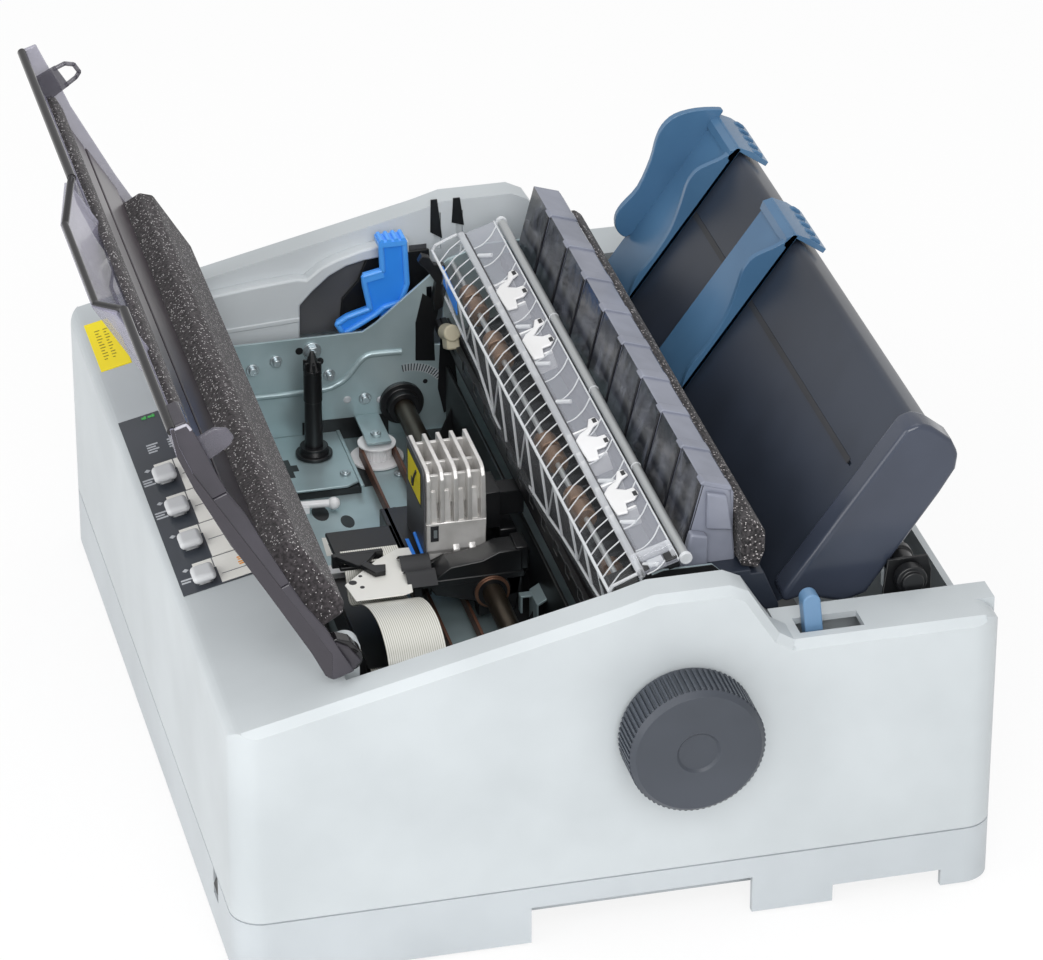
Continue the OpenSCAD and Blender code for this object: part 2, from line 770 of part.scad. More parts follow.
module pulley(x) {
  translate([x, belt_y, 0]) difference() {
    union() {
      translate([0, 0, 58.1]) cylinder(h = 0.9, r = 9.5);
      translate([0, 0, 58.1]) cylinder(h = 8.9, r = belt_r - run_fit);
      translate([0, 0, 66.1]) cylinder(h = 0.9, r = 9.5);
    }
    children();
  }
}

module drive_pulley() {
  color("#D9D9D2") in_row() {
    pulley(belt_x) translate([0, 0, 50]) cylinder(h = 1, r = 1);
    translate([belt_x, belt_y, 41]) cylinder(h = 17.1, r = 2.5);
  }
}

module idler_pulley() {
  color("#EDEDE8") in_row() pulley(-belt_x) translate([0, 0, 50]) cylinder(h = 30, r = 2 + run_fit);
}

module platen_roller() {
  color("#2A2A2C") in_row() difference() {
    rod(-platen_l / 2, platen_l / 2, platen_y, platen_z, platen_r);
    rod(-platen_l / 2 - 1, platen_l / 2 + 1, platen_y, platen_z, shaft_r);
  }
}

module platen_shaft() {
  color("#C9C2AE") in_row() {
    rod(-168, 222, platen_y, platen_z, shaft_r);
    for (x = [-154, 150]) difference() {
      rod(x, x + 4, platen_y, platen_z, 13);
    }
  }
}

module platen_knob() {
  x0 = knob_x0;
  x1 = knob_x1;
  color("#4E545E") in_row() difference() {
    union() {
      // ribbed grip
      translate([x0 + 2, platen_y, platen_z]) rotate([90, 0, 90]) linear_extrude(knob_t - 4.5)
        polygon([for (i = [0 : knob_ribs - 1], p = [[0, knob_r], [0.45, knob_r], [0.5, knob_r - 0.9],
          [0.95, knob_r - 0.9]]) [p[1] * cos((i + p[0]) * 360 / knob_ribs),
          p[1] * sin((i + p[0]) * 360 / knob_ribs)]]);
      rod(x0, x0 + 2, platen_y, platen_z, knob_r - 1.2);
      // front rim, bevelled
      translate([x1 - 2.5, platen_y, platen_z]) rotate([0, 90, 0])
        cylinder(h = 2.5, r1 = knob_r - 0.4, r2 = knob_r - 2.6);
    }
    // blind bore for the shaft
    rod(x0 - 1, 222, platen_y, platen_z, shaft_r);
    // finger dimple in the face
    translate([x1 - 1.2, platen_y, platen_z]) rotate([0, 90, 0]) cylinder(h = 2, r1 = 8.6, r2 = 10.6);
  }
}

module platen_gear() {
  color("#E4E1D6") in_row() difference() {
    gear(gear_x0, gear_x0 + gear_w, platen_y, platen_z, 36, gear_tilt);
    rod(160, 180, platen_y, platen_z, shaft_r);
  }
}

module feed_idler_gear() {
  color("#E4E1D6") in_row() difference() {
    gear(gear_x0, gear_x0 + gear_w, idler_y, idler_z, 24, gear_tilt + 7.5);
    rod(160, 180, idler_y, idler_z, 2.5 + run_fit);
  }
}

module feed_pinion() {
  color("#C8B26A") in_row() {
    gear(gear_x0, gear_x0 + gear_w, pinion_y, pinion_z, 12, gear_tilt);
    rod(149, gear_x0, pinion_y, pinion_z, 2);
  }
}

module tractor_roller() {
  color("#8E9296") in_row() {
    rod(-172, 172, tractor_y, tractor_z, 5);
    rod(-158, 158, tractor_y, tractor_z, 6);
    for (x = [-150, -90, -30, 30, 90, 146]) rod(x, x + 4, tractor_y, tractor_z, 7);
    for (x = [-170, 164.5]) rod(x, x + 5.5, tractor_y, tractor_z, 7);
  }
}

module pinch_rollers() {
  color("#8A6A55") in_row() for (x = fork_x) {
    for (s = [-6.6, 1.4]) rod(x + s, x + s + 5.2, roller_y, roller_z, roller_r);
    rod(x - 9.3, x + 9.3, roller_y, roller_z, 1.5);
  }
}

module ribbon_drive_post() {
  color("#17181A") in_row() translate([post_x, post_y, 0]) {
    translate([0, 0, 58.4]) cylinder(h = 5, r = 3);
    translate([0, 0, 63]) cylinder(h = 3.2, r = 8.5);
    translate([0, 0, 66.2]) cylinder(h = 2, r = 6.5);
    translate([0, 0, 63]) cylinder(h = 50, r = 4.3);
    translate([-1, -4, 110]) cube([2, 8, 10]);
    translate([-4, -1, 110]) cube([8, 2, 10]);
  }
}

// Levers

module thickness_lever() {
  color("#1478E0") in_row() difference() {
    union() {
      rod(-176, -170, rod_y, rod_z, 9.5);
      slab(-176, -170) polygon([[149, rod_z], [163, rod_z], [160, 118], [163, 130], [162.5, 160],
        [148.5, 160], [147.5, 142], [141, 130], [129, 118], [131, 112], [146, 119], [150, 112]]);
      // finger rest
      translate([-180, 148.5, 150]) cube([10.5, 14, 10]);
      slab(-180, -170) polygon([[131, 112], [129, 118], [141, 130], [144, 126], [134, 113]]);
    }
    rod(-180, -165, rod_y, rod_z, rod_r + run_fit);
  }
}

module release_lever() {
  color("#5F83A5") in_row() translate([0, lever_y, lever_z]) rotate([lever_lean, 0, 0]) difference() {
    union() {
      translate([lever_x0, -4, -2]) cube([lever_x1 - lever_x0, 8, 82]);
      rod(lever_x0, lever_x1, 0, 0, 7);
      rod(lever_x0, lever_x1, 0, 80, 4);
    }
    rod(lever_x0 - 1, lever_x1 + 1, 0, 0, 3 + run_fit);
  }
}

// Edge guides of the sheet guide

module edge_guide(x0, side) {
  fence_x = side < 0 ? x0 : x0 + edge_w - 3;
  on_sheet() {
    difference() {
      union() {
        slab(x0, x0 + edge_w) polygon([[8, 0.4], [103, 0.4], [103, 3], [8, 3]]);
        // fence that squares the paper
        slab(fence_x, fence_x + 3) polygon([[14, 0.4], [14, 9], [30, 13], [52, 15], [68, 26], [84, 25],
          [100, 13], [103, 5], [103, 0.4]]);
        // hook over the top edge
        slab(x0, x0 + edge_w) polygon([[sheet_l + 0.5, -16], [sheet_l + 3, -16], [sheet_l + 3, 1],
          [101, 5], [97, 3], [97, 0.4], [sheet_l + 0.5, 0.4]]);
        for (i = [0 : 3]) slab(x0 + 4 + i * 9, x0 + 8 + i * 9)
          polygon([[sheet_l + 2.5, -14], [sheet_l + 6, -11], [sheet_l + 6, -7], [sheet_l + 2.5, -4]]);
        // tongue in the groove
        translate([x0 + 6, 64.8, -0.8]) cube([edge_w - 12, 1, 2]);
      }
    }
  }
}

module edge_guide_left() {
  color("#3F6080") in_row() edge_guide(-sheet_hw, -1);
}

module edge_guide_right() {
  color("#3F6080") in_row() edge_guide(-62, 1);
}

// Buttons and switch

module button(i) {
  color("#B9B9B9") in_row() on_deck() translate([button_x + i * button_pitch, button_v, 0]) {
    translate([-5, -5, 2]) cube([10, 10, 3.6]);
    translate([-4.3, -4.3, 5.6]) cube([8.6, 8.6, 0.7]);
    translate([-3, -3, -5]) cube([6, 6, 7]);
    translate([-4, -4, -5]) cube([8, 8, 1.5]);
  }
}

module button_1() { button(0); }

module button_2() { button(1); }

module button_3() { button(2); }

module button_4() { button(3); }

module power_switch() {
  color("#1C1D1F") in_row() difference() {
    union() {
      rod(switch_x - 4.6, switch_x + 4.6, switch_y, switch_z, switch_r);
      rod(switch_x - 7, switch_x + 7, switch_y, switch_z, 1.5);
    }
    // shallow dip in the rocking face
    rod(switch_x - 5, switch_x + 5, -8.2, switch_z + 3.6, 9.5);
  }
}

// Cover

module printer_cover() {
  hw = cover_w / 2;
  color([0.31, 0.29, 0.32, 0.75]) in_row() in_cover() difference() {
    union() {
      difference() {
        union() {
          // skin with a turned-in free edge and a raised hinge edge
          slab(-hw, hw) polygon([[0, 10], [3, 11.2], [12, 6.4], [121, 5.8], [136, 3.6], [cover_l, 0],
            [142.5, -7], [140.2, -7], [140.8, -0.5], [135, 1.3], [121, 3.5], [10, 3.5], [3.5, 7.6]]);
          // end walls
          for (x = [-hw, hw - 2.5]) slab(x, x + 2.5) polygon([[0, 10], [3, 11.2], [12, 6.4], [121, 5.8],
            [136, 3.6], [cover_l, 0], [142, -8], [131, -6.5], [118, -5.5], [105, -3.5], [62, -0.8],
            [48, -0.6], [20, -4.5], [6, -3.5], [0, 2]]);
          // raised middle of the free edge
          intersection() {
            slab(-50, 78) polygon([[90, 4], [104, bulge_h], [cover_l - 3, bulge_h], [cover_l - 0.5, 1], [90, 1]]);
            translate([0, cover_l, 0]) rotate([90, 0, 0]) linear_extrude(60)
              polygon([[-50, 3.6], [-18, bulge_h], [62, bulge_h], [78, 3.6]]);
          }
        }
        // hollow under the raised part
        intersection() {
          slab(-50, 78) polygon([[104, 3.4], [106, bulge_h - 2.4], [cover_l + 2, bulge_h - 2.4], [cover_l + 2, 2],
            [122, 2], [122, 3.4]]);
          translate([0, cover_l + 1, 0]) rotate([90, 0, 0]) linear_extrude(60)
            polygon([[-46, 1], [-18.5, bulge_h - 2.4], [62.5, bulge_h - 2.4], [74, 1]]);
        }
        // room for the hinge posts
        for (m = [0, 1]) mirror([m, 0, 0]) translate([hinge_post_x - 1, -10, -12])
          cube([knuckle_x + knuckle_w + 2 - hinge_post_x, 18.5, 30]);
      }
      // stiffening rib inside
      slab(-hw + 2, hw - 2) polygon([[72, 3.6], [73.6, 3.6], [73.6, -1.5], [72, -1.5]]);
      slab(-hw + 2, hw - 2) polygon([[88, 3.6], [89.6, 3.6], [89.6, 0.5], [88, 0.5]]);
      // latch tabs at both ends
      for (x = [-hw + 6.6, hw - 8.8]) difference() {
        slab(x, x + 2.2) polygon([[117, 3.6], [131, 3.6], [130, -14], [126, -18.6], [120, -18.6], [118, -15]]);
        slab(x - 1, x + 4) polygon([[121, -7], [127, -7], [127, -15.5], [121, -15.5]]);
      }
      // hinge knuckles with their pins
      for (m = [0, 1]) mirror([m, 0, 0]) {
        rod(knuckle_x, knuckle_x + knuckle_w, 0, 0, 6);
        rod(hinge_post_x + 0.4, knuckle_x, 0, 0, hinge_pin_r);
        translate([knuckle_x, 0, -1]) cube([knuckle_w, 12, 6]);
        translate([knuckle_x, 8, 3]) cube([hw - knuckle_x, 4, 3]);
      }
    }
  }
}

module cover_foam_strip() {
  color("#4A4648") in_row() in_cover() slab(-cover_w / 2 + 4, cover_w / 2 - 4)
    polygon([[108, 3.5], [116.8, 3.5], [116.8, 0.2], [115, -0.5], [108, 0.5]]);
}

module cover_foam_block() {
  color("#4A4648") in_row() in_cover() slab(-cover_w / 2 + 20, cover_w / 2 - 18)
    polygon([[13, 3.5], [57, 3.5], [57, -7], [52, -11.5], [17, -11.5], [13, -8]]);
}

lower_case();
rubber_feet();
upper_case();
control_panel_plate();
panel_labels();
indicator_lenses();
blank_label();
chassis_base();
left_side_frame();
right_side_frame();
platen_bearings();
carriage_rod();
rod_collars();
drive_belt();
idler_bracket();
carriage_motor();
feed_motor();
main_board();
power_supply();
ac_inlet();
interface_connector();
switch_housing();
paper_bail_bar();
tension_unit();
tension_tube();
tension_forks();
separator_bar();
separator_foam();
rear_guide_frame();
sheet_guide();
cable_socket();
head_cable();
frame_screws();
carriage();
print_head();
head_nose();
cable_clamp();
drive_pulley();
idler_pulley();
platen_roller();
platen_shaft();
platen_knob();
platen_gear();
feed_idler_gear();
feed_pinion();
tractor_roller();
pinch_rollers();
ribbon_drive_post();
thickness_lever();
release_lever();
edge_guide_left();
edge_guide_right();
button_1();
button_2();
button_3();
button_4();
power_switch();
printer_cover();
cover_foam_strip();
cover_foam_block();
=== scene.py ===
"""Looks of a desktop dot matrix printer with its smoked cover raised.

Lengths are in millimetres in the printer's own frame, whose zero is the middle of the
case's front edge at table height, until place() turns them into the row's metres.
"""

import json
import math

import bmesh
import bpy
from mathutils import Matrix, Vector

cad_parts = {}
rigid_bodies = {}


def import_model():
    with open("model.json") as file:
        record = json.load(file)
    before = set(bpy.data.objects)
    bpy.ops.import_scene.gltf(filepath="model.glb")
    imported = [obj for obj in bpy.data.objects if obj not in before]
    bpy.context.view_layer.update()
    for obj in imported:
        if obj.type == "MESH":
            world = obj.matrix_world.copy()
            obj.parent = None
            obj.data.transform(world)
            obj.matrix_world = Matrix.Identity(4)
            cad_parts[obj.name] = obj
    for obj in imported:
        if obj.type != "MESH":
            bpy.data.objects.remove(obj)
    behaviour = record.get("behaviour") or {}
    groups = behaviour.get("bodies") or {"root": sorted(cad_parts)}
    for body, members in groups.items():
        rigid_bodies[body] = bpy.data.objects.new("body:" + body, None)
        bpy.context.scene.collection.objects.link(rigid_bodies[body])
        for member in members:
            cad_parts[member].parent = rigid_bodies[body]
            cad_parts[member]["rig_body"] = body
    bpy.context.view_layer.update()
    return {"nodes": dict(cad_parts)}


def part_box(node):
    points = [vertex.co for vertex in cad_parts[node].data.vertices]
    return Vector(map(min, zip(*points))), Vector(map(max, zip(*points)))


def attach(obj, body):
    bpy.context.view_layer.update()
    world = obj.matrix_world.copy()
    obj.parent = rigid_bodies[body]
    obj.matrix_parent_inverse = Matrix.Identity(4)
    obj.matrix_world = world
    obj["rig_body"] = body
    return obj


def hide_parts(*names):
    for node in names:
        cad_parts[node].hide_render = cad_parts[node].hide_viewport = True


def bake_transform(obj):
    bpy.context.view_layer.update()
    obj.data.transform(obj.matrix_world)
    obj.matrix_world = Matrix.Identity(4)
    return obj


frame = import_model()

MM = 0.001
case_low, case_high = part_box("lower_case")
CASE_MIDDLE = (case_low.x + case_high.x) / 2
CASE_FRONT = case_low.y

# Printer sizes that several pieces share, in millimetres
DECK_Z = 124.5
DECK_SLOPE = math.radians(13)
HINGE_Y, HINGE_Z = 56.0, 146.0
COVER_ANGLE = math.radians(121)
SHEET_Y, SHEET_Z = 253.2, 129.3
SHEET_ANGLE = math.radians(54)
FRAME_X = 161.4
PLATE_TOP = 57.6
ROD_Y, ROD_Z = 156.5, 75.0
POST_X, POST_Y = -140.0, 108.3
PULLEY_X, PULLEY_Y = 138.0, 139.0


def at(x, y, z):
    """A point of the printer, in millimetres, as the row's metres."""
    return Vector((CASE_MIDDLE + x * MM, CASE_FRONT + y * MM, z * MM))


TO_ROW = Matrix.Translation(at(0, 0, 0)) @ Matrix.Scale(MM, 4)
ON_DECK = Matrix.Translation((0, 0, DECK_Z)) @ Matrix.Rotation(DECK_SLOPE, 4, "X")
IN_COVER = Matrix.Translation((0, HINGE_Y, HINGE_Z)) @ Matrix.Rotation(COVER_ANGLE, 4, "X")
ON_SHEET = Matrix.Translation((0, SHEET_Y, SHEET_Z)) @ Matrix.Rotation(SHEET_ANGLE, 4, "X")
ON_UNIT = Matrix.Translation((0, 173.5, 154.5)) @ Matrix.Rotation(math.radians(18.1), 4, "X")


# ---------------------------------------------------------------- materials


def srgb(hex_colour, alpha=1.0):
    """An sRGB hex colour as linear red, green, blue and alpha."""
    value = hex_colour.lstrip("#")
    linear = []
    for i in (0, 2, 4):
        c = int(value[i:i + 2], 16) / 255
        linear.append(c / 12.92 if c <= 0.04045 else ((c + 0.055) / 1.055) ** 2.4)
    return (*linear, alpha)


def add(tree, kind, settings=None, links=None):
    """Adds a node, sets its properties or sockets by name or number, and links other nodes' outputs in."""
    made = tree.nodes.new(kind)
    for name, value in (settings or {}).items():
        if isinstance(name, str) and hasattr(made, name) and name not in made.inputs:
            setattr(made, name, value)
        else:
            made.inputs[name].default_value = value
    for name, source in (links or {}).items():
        tree.links.new(source, made.inputs[name])
    return made


def surface(name, colour, roughness, **settings):
    """A material with one shader, returned with its tree, shader and object coordinates."""
    made = bpy.data.materials.new(name)
    made.use_nodes = True
    tree = made.node_tree
    tree.nodes.clear()
    looks = {"Base Color": srgb(colour), "Roughness": roughness, **settings}
    shader = add(tree, "ShaderNodeBsdfPrincipled", looks)
    output = add(tree, "ShaderNodeOutputMaterial")
    tree.links.new(shader.outputs["BSDF"], output.inputs["Surface"])
    spot = add(tree, "ShaderNodeTexCoord").outputs["Object"]
    return made, tree, shader, spot


def mottle(tree, shader, spot, size_mm, dark, light, detail=3.0, low=0.35, high=0.65):
    """Colour that drifts between two shades over patches of a real size."""
    noise = add(tree, "ShaderNodeTexNoise", {"Scale": 1000 / size_mm, "Detail": detail}, {"Vector": spot})
    ramp = add(tree, "ShaderNodeValToRGB", None, {"Fac": noise.outputs["Fac"]})
    ramp.color_ramp.elements[0].position = low
    ramp.color_ramp.elements[1].position = high
    ramp.color_ramp.elements[0].color = srgb(dark)
    ramp.color_ramp.elements[1].color = srgb(light)
    tree.links.new(ramp.outputs["Color"], shader.inputs["Base Color"])


def grain(tree, shader, spot, size_mm, depth_mm, strength=0.5, detail=2.0):
    """Fine bumps of a real size and depth."""
    noise = add(tree, "ShaderNodeTexNoise", {"Scale": 1000 / size_mm, "Detail": detail}, {"Vector": spot})
    bump = add(
        tree,
        "ShaderNodeBump",
        {"Strength": strength, "Distance": depth_mm * MM},
        {"Height": noise.outputs["Fac"]},
    )
    tree.links.new(bump.outputs["Normal"], shader.inputs["Normal"])


def streaks(tree, shader, spot, across_mm, stretch, low, high):
    """Roughness drawn out along one direction, as on rolled or brushed metal."""
    mapping = add(tree, "ShaderNodeMapping", {"Scale": stretch}, {"Vector": spot})
    noise = add(
        tree,
        "ShaderNodeTexNoise",
        {"Scale": 1000 / across_mm, "Detail": 4.0},
        {"Vector": mapping.outputs["Vector"]},
    )
    span = add(
        tree,
        "ShaderNodeMapRange",
        {"To Min": low, "To Max": high},
        {"Value": noise.outputs["Fac"]},
    )
    tree.links.new(span.outputs["Result"], shader.inputs["Roughness"])


def moulded_plastic(name, dark, light, roughness=0.42):
    # spark-eroded mould finish: an even colour and a satin sheen; its grain is drawn at 0.9 mm,
    # coarser than the real one, so that it shows
    made, tree, shader, spot = surface(name, light, roughness)
    mottle(tree, shader, spot, 60, dark, light)
    grain(tree, shader, spot, 0.9, 0.03, 0.35)
    return made


def printed_stock(name, dark, light, roughness=0.45):
    # label paper, screen printed ink and solder mask: flat colour that hardly shines, with a faint tooth
    return moulded_plastic(name, dark, light, roughness)


def painted_metal(name, dark, light, roughness=0.45):
    # stoved enamel on sheet steel: dull and even, with slight orange peel
    return moulded_plastic(name, dark, light, roughness)


def moulded_rubber(name, dark, light, roughness=0.6):
    # vulcanised rubber, ground or straight from the mould: dusty black with no clear highlight
    return moulded_plastic(name, dark, light, roughness)


def clear_styrene(name, tint, low, high, roughness=0.08):
    # injection moulded clear plastic: faces nearly invisible head on, and more opaque where seen edge on, so
    # that the pale tint shows there as a painted reflection
    made, tree, shader, spot = surface(name, tint, roughness, **{"IOR": 1.5})
    weight = add(tree, "ShaderNodeLayerWeight", {"Blend": 0.4})
    span = add(
        tree,
        "ShaderNodeMapRange",
        {"To Min": low, "To Max": high},
        {"Value": weight.outputs["Facing"]},
    )
    tree.links.new(span.outputs["Result"], shader.inputs["Alpha"])
    grain(tree, shader, spot, 8, 0.12, 0.35)
    return made


def smoked_plastic(name, dark, light, alpha, roughness):
    # tinted polycarbonate: a little see-through, with a soft gloss
    made, tree, shader, spot = surface(name, light, roughness, **{"IOR": 1.55, "Alpha": alpha})
    mottle(tree, shader, spot, 30, dark, light)
    grain(tree, shader, spot, 2.5, 0.03, 0.3)
    return made


def painted_backlight_shell(name, far, near, far_alpha, near_alpha, roughness=0.24):
    # smoked polycarbonate with painted light: pale lavender and more see-through towards the far end, which
    # the white backdrop lights from behind, and dark plum towards the near end
    made, tree, shader, spot = surface(name, near, roughness, **{"IOR": 1.55})
    parts = add(tree, "ShaderNodeSeparateXYZ", None, {"Vector": spot})
    along = add(
        tree,
        "ShaderNodeMapRange",
        {"From Min": -170 * MM, "From Max": 60 * MM},
        {"Value": parts.outputs["X"]},
    )
    ramp = add(tree, "ShaderNodeValToRGB", None, {"Fac": along.outputs["Result"]})
    ramp.color_ramp.elements[0].color = srgb(far)
    ramp.color_ramp.elements[1].color = srgb(near)
    tree.links.new(ramp.outputs["Color"], shader.inputs["Base Color"])
    clear = add(
        tree,
        "ShaderNodeMapRange",
        {"To Min": far_alpha, "To Max": near_alpha},
        {"Value": along.outputs["Result"]},
    )
    tree.links.new(clear.outputs["Result"], shader.inputs["Alpha"])
    grain(tree, shader, spot, 2.5, 0.03, 0.3)
    return made


def marbled_shell(name, dark, light, alpha):
    # smoked moulding with flow marks: pale wisps drawn up through a dark gloss
    made, tree, shader, spot = surface(name, dark, 0.14, **{"IOR": 1.55, "Alpha": alpha})
    mapping = add(tree, "ShaderNodeMapping", {"Scale": (1.0, 1.0, 0.45)}, {"Vector": spot})
    noise = add(
        tree,
        "ShaderNodeTexNoise",
        {"Scale": 1000 / 17, "Detail": 4.0, "Distortion": 1.6},
        {"Vector": mapping.outputs["Vector"]},
    )
    ramp = add(tree, "ShaderNodeValToRGB", None, {"Fac": noise.outputs["Fac"]})
    ramp.color_ramp.elements[0].position = 0.42
    ramp.color_ramp.elements[1].position = 0.74
    ramp.color_ramp.elements[0].color = srgb(dark)
    ramp.color_ramp.elements[1].color = srgb(light)
    tree.links.new(ramp.outputs["Color"], shader.inputs["Base Color"])
    grain(tree, shader, spot, 9, 0.25, 0.5)
    return made


def zinc_steel(name, dark, light):
    # zinc plated sheet: cool, faintly blue, with soft rolled streaks
    made, tree, shader, spot = surface(name, light, 0.36, **{"Metallic": 0.45})
    mottle(tree, shader, spot, 45, dark, light)
    streaks(tree, shader, spot, 3, (1, 0.08, 1), 0.28, 0.42)
    return made


def ground_steel(name, colour, roughness=0.2, metallic=1.0):
    # turned or centreless ground metal: fine rings round the axis and a film of oil
    made, tree, shader, spot = surface(name, colour, roughness, **{"Metallic": metallic})
    streaks(tree, shader, spot, 1.2, (6, 0.2, 0.2), roughness * 0.7, roughness * 1.6)
    return made


def ground_rubber(name, colour, roughness, sheen):
    # rubber roller ground on its shaft: the same fine rings, with a waxy sheen in place of the oil
    return ground_steel(name, colour, roughness, sheen)


def open_foam(name, dark, light, glint, cell_mm):
    # open cell polyether foam: pitted charcoal skin, with pale specks as painted highlights where a few cell
    # walls catch the light
    made, tree, shader, spot = surface(name, dark, 0.9, **{"Sheen Weight": 0.1})
    body = add(tree, "ShaderNodeTexNoise", {"Scale": 1000 / 1.6, "Detail": 4.0}, {"Vector": spot})
    ramp = add(tree, "ShaderNodeValToRGB", None, {"Fac": body.outputs["Fac"]})
    ramp.color_ramp.elements[0].position = 0.38
    ramp.color_ramp.elements[1].position = 0.68
    ramp.color_ramp.elements[0].color = srgb(dark)
    ramp.color_ramp.elements[1].color = srgb(light)
    cells = add(tree, "ShaderNodeTexVoronoi", {"Scale": 1000 / cell_mm, "Randomness": 1.0}, {"Vector": spot})
    glint_radius, glint_share = 0.36, 0.28
    near = add(
        tree,
        "ShaderNodeMath",
        {"operation": "LESS_THAN", 1: glint_radius},
        {0: cells.outputs["Distance"]},
    )
    parts = add(tree, "ShaderNodeSeparateXYZ", None, {"Vector": cells.outputs["Color"]})
    some = add(
        tree,
        "ShaderNodeMath",
        {"operation": "GREATER_THAN", 1: 1 - glint_share},
        {0: parts.outputs["X"]},
    )
    both = add(tree, "ShaderNodeMath", {"operation": "MULTIPLY"}, {0: near.outputs[0], 1: some.outputs[0]})
    blend = add(
        tree,
        "ShaderNodeMixRGB",
        {"Color2": srgb(glint)},
        {"Fac": both.outputs[0], "Color1": ramp.outputs["Color"]},
    )
    tree.links.new(blend.outputs["Color"], shader.inputs["Base Color"])
    bump = add(
        tree,
        "ShaderNodeBump",
        {"Strength": 0.7, "Distance": 0.7 * MM},
        {"Height": body.outputs["Fac"]},
    )
    tree.links.new(bump.outputs["Normal"], shader.inputs["Normal"])
    return made


def lined_film(name, pale, line, pitch_mm):
    # flat flexible cable: white polyester with the conductors showing as fine grey lines
    made, tree, shader, spot = surface(name, pale, 0.3)
    wave = add(
        tree,
        "ShaderNodeTexWave",
        {"wave_type": "BANDS", "bands_direction": "Y", "Scale": 2 * math.pi / (20 * pitch_mm * MM)},
        {"Vector": spot},
    )
    ramp = add(tree, "ShaderNodeValToRGB", None, {"Fac": wave.outputs["Fac"]})
    ramp.color_ramp.elements[0].position = 0.1
    ramp.color_ramp.elements[1].position = 0.45
    ramp.color_ramp.elements[0].color = srgb(line)
    ramp.color_ramp.elements[1].color = srgb(pale)
    tree.links.new(ramp.outputs["Color"], shader.inputs["Base Color"])
    return made


def cast_aluminium(name, dark, light):
    # die cast and tumbled: warm grey with a dull, slightly grainy sheen
    made, tree, shader, spot = surface(name, light, 0.4, **{"Metallic": 0.5})
    mottle(tree, shader, spot, 14, dark, light)
    grain(tree, shader, spot, 0.8, 0.05, 0.5)
    return made


CASE_TOP = moulded_plastic("moulded_abs_pearl_grey", "#B4BABD", "#BCC2C5")
# painted light: a paler copy of the case grey for the inner face of the left wall and its panel, which the
# lamps leave darker
CASE_INNER_PAINTED_LIGHT = moulded_plastic("moulded_abs_pearl_painted_light", "#C6CBCE", "#CDD2D5")
CASE_BOTTOM = moulded_plastic("moulded_abs_cool_grey", "#B0B6BA", "#B8BEC2")
# black nylon parts, and also painted shade: black blocks and decals in openings, slots and recesses that lie
# in shade
BLACK_NYLON_AND_SHADE = moulded_plastic("moulded_nylon_black_and_painted_shade", "#101113", "#1B1C1E", 0.36)
GUIDE_ABS = moulded_plastic("moulded_abs_slate", "#242A35", "#2C3340", 0.38)
GUIDE_END = moulded_plastic("moulded_abs_slate_rim", "#333946", "#3C4250", 0.2)
KNOB_ABS = moulded_plastic("moulded_abs_graphite", "#343941", "#3D424B", 0.42)
BLUE_GUIDE = moulded_plastic("moulded_abs_steel_blue", "#426789", "#4C7294", 0.25)
BLUE_LEVER = moulded_plastic("moulded_acetal_bright_blue", "#3D96F4", "#56A6FA", 0.3)
BLUE_HOLLOW = moulded_plastic("moulded_acetal_blue_web", "#2883EC", "#3692F4", 0.36)
PALE_LEVER = moulded_plastic("moulded_acetal_dusk_blue", "#587C9E", "#6789AB", 0.38)
BUTTON_ABS = moulded_plastic("moulded_abs_button_grey", "#C4C6C8", "#D0D2D4", 0.4)
WHITE_NYLON = moulded_plastic("moulded_nylon_natural", "#E2E2E2", "#F4F4F6", 0.32)
CREAM_ACETAL = moulded_plastic("moulded_acetal_cream", "#BFB79F", "#CFC8B2", 0.35)
CLEAR_SKIN = clear_styrene("clear_styrene_skin", "#C3C6D0", 0.2, 0.5)
CLEAR_WALL = clear_styrene("clear_styrene_wall", "#D5DBE2", 0.01, 0.06)
# painted highlight: a near-white clear plastic for the bright edges and glints of the clear tension unit
CLEAR_GLINT = clear_styrene("clear_styrene_painted_glint", "#F2F5F8", 0.45, 0.85, 0.1)
CLEAR_SPINE = clear_styrene("clear_styrene_spine", "#E6E9EE", 0.22, 0.75, 0.05)
# painted light: both go pale towards the far end, where the backdrop lights the cover from behind
COVER_SHELL = painted_backlight_shell("smoked_polycarbonate_shell_painted_backlight", "#8F8D9E", "#322F36", 0.62, 0.96)
COVER_WEB = painted_backlight_shell("smoked_polycarbonate_web_painted_backlight", "#4A4148", "#262229", 0.94, 0.98, 0.3)
COVER_TINT = smoked_plastic("smoked_polycarbonate_lavender", "#8E8CA0", "#A3A1B4", 0.55, 0.16)
COVER_RIM = smoked_plastic("smoked_polycarbonate_rim", "#0D0C0F", "#161519", 0.99, 0.16)
COVER_END = smoked_plastic("smoked_polycarbonate_plum", "#302E35", "#3A373F", 0.98, 0.24)
COVER_LATCH = smoked_plastic("smoked_polycarbonate_latch", "#55535C", "#67656F", 0.72, 0.2)
# painted highlight: a pale smoked plastic for the bright line along the cover's near corner
COVER_HIGHLIGHT = smoked_plastic("smoked_polycarbonate_painted_highlight", "#A3A1AB", "#BBB9C3", 0.8, 0.18)
BAR_CAP = smoked_plastic("smoked_polycarbonate_cap", "#777B88", "#8B8F9D", 0.98, 0.2)
BAR_FRONT = marbled_shell("smoked_polycarbonate_marbled", "#23252B", "#5E626D", 0.94)
BAR_RIB = smoked_plastic("smoked_polycarbonate_rib", "#1A1B1F", "#26272C", 0.98, 0.2)
ZINC = zinc_steel("zinc_plated_sheet", "#9AADB1", "#B4C6CA")
ROD_STEEL = ground_steel("oiled_bronze_rod", "#4A4238", 0.3, 0.8)
TUBE_STEEL = ground_steel("polished_steel_tube", "#B4B7B8", 0.3, 0.45)
SCREW_STEEL = ground_steel("plated_screw_steel", "#B9C2C6", 0.26, 0.8)
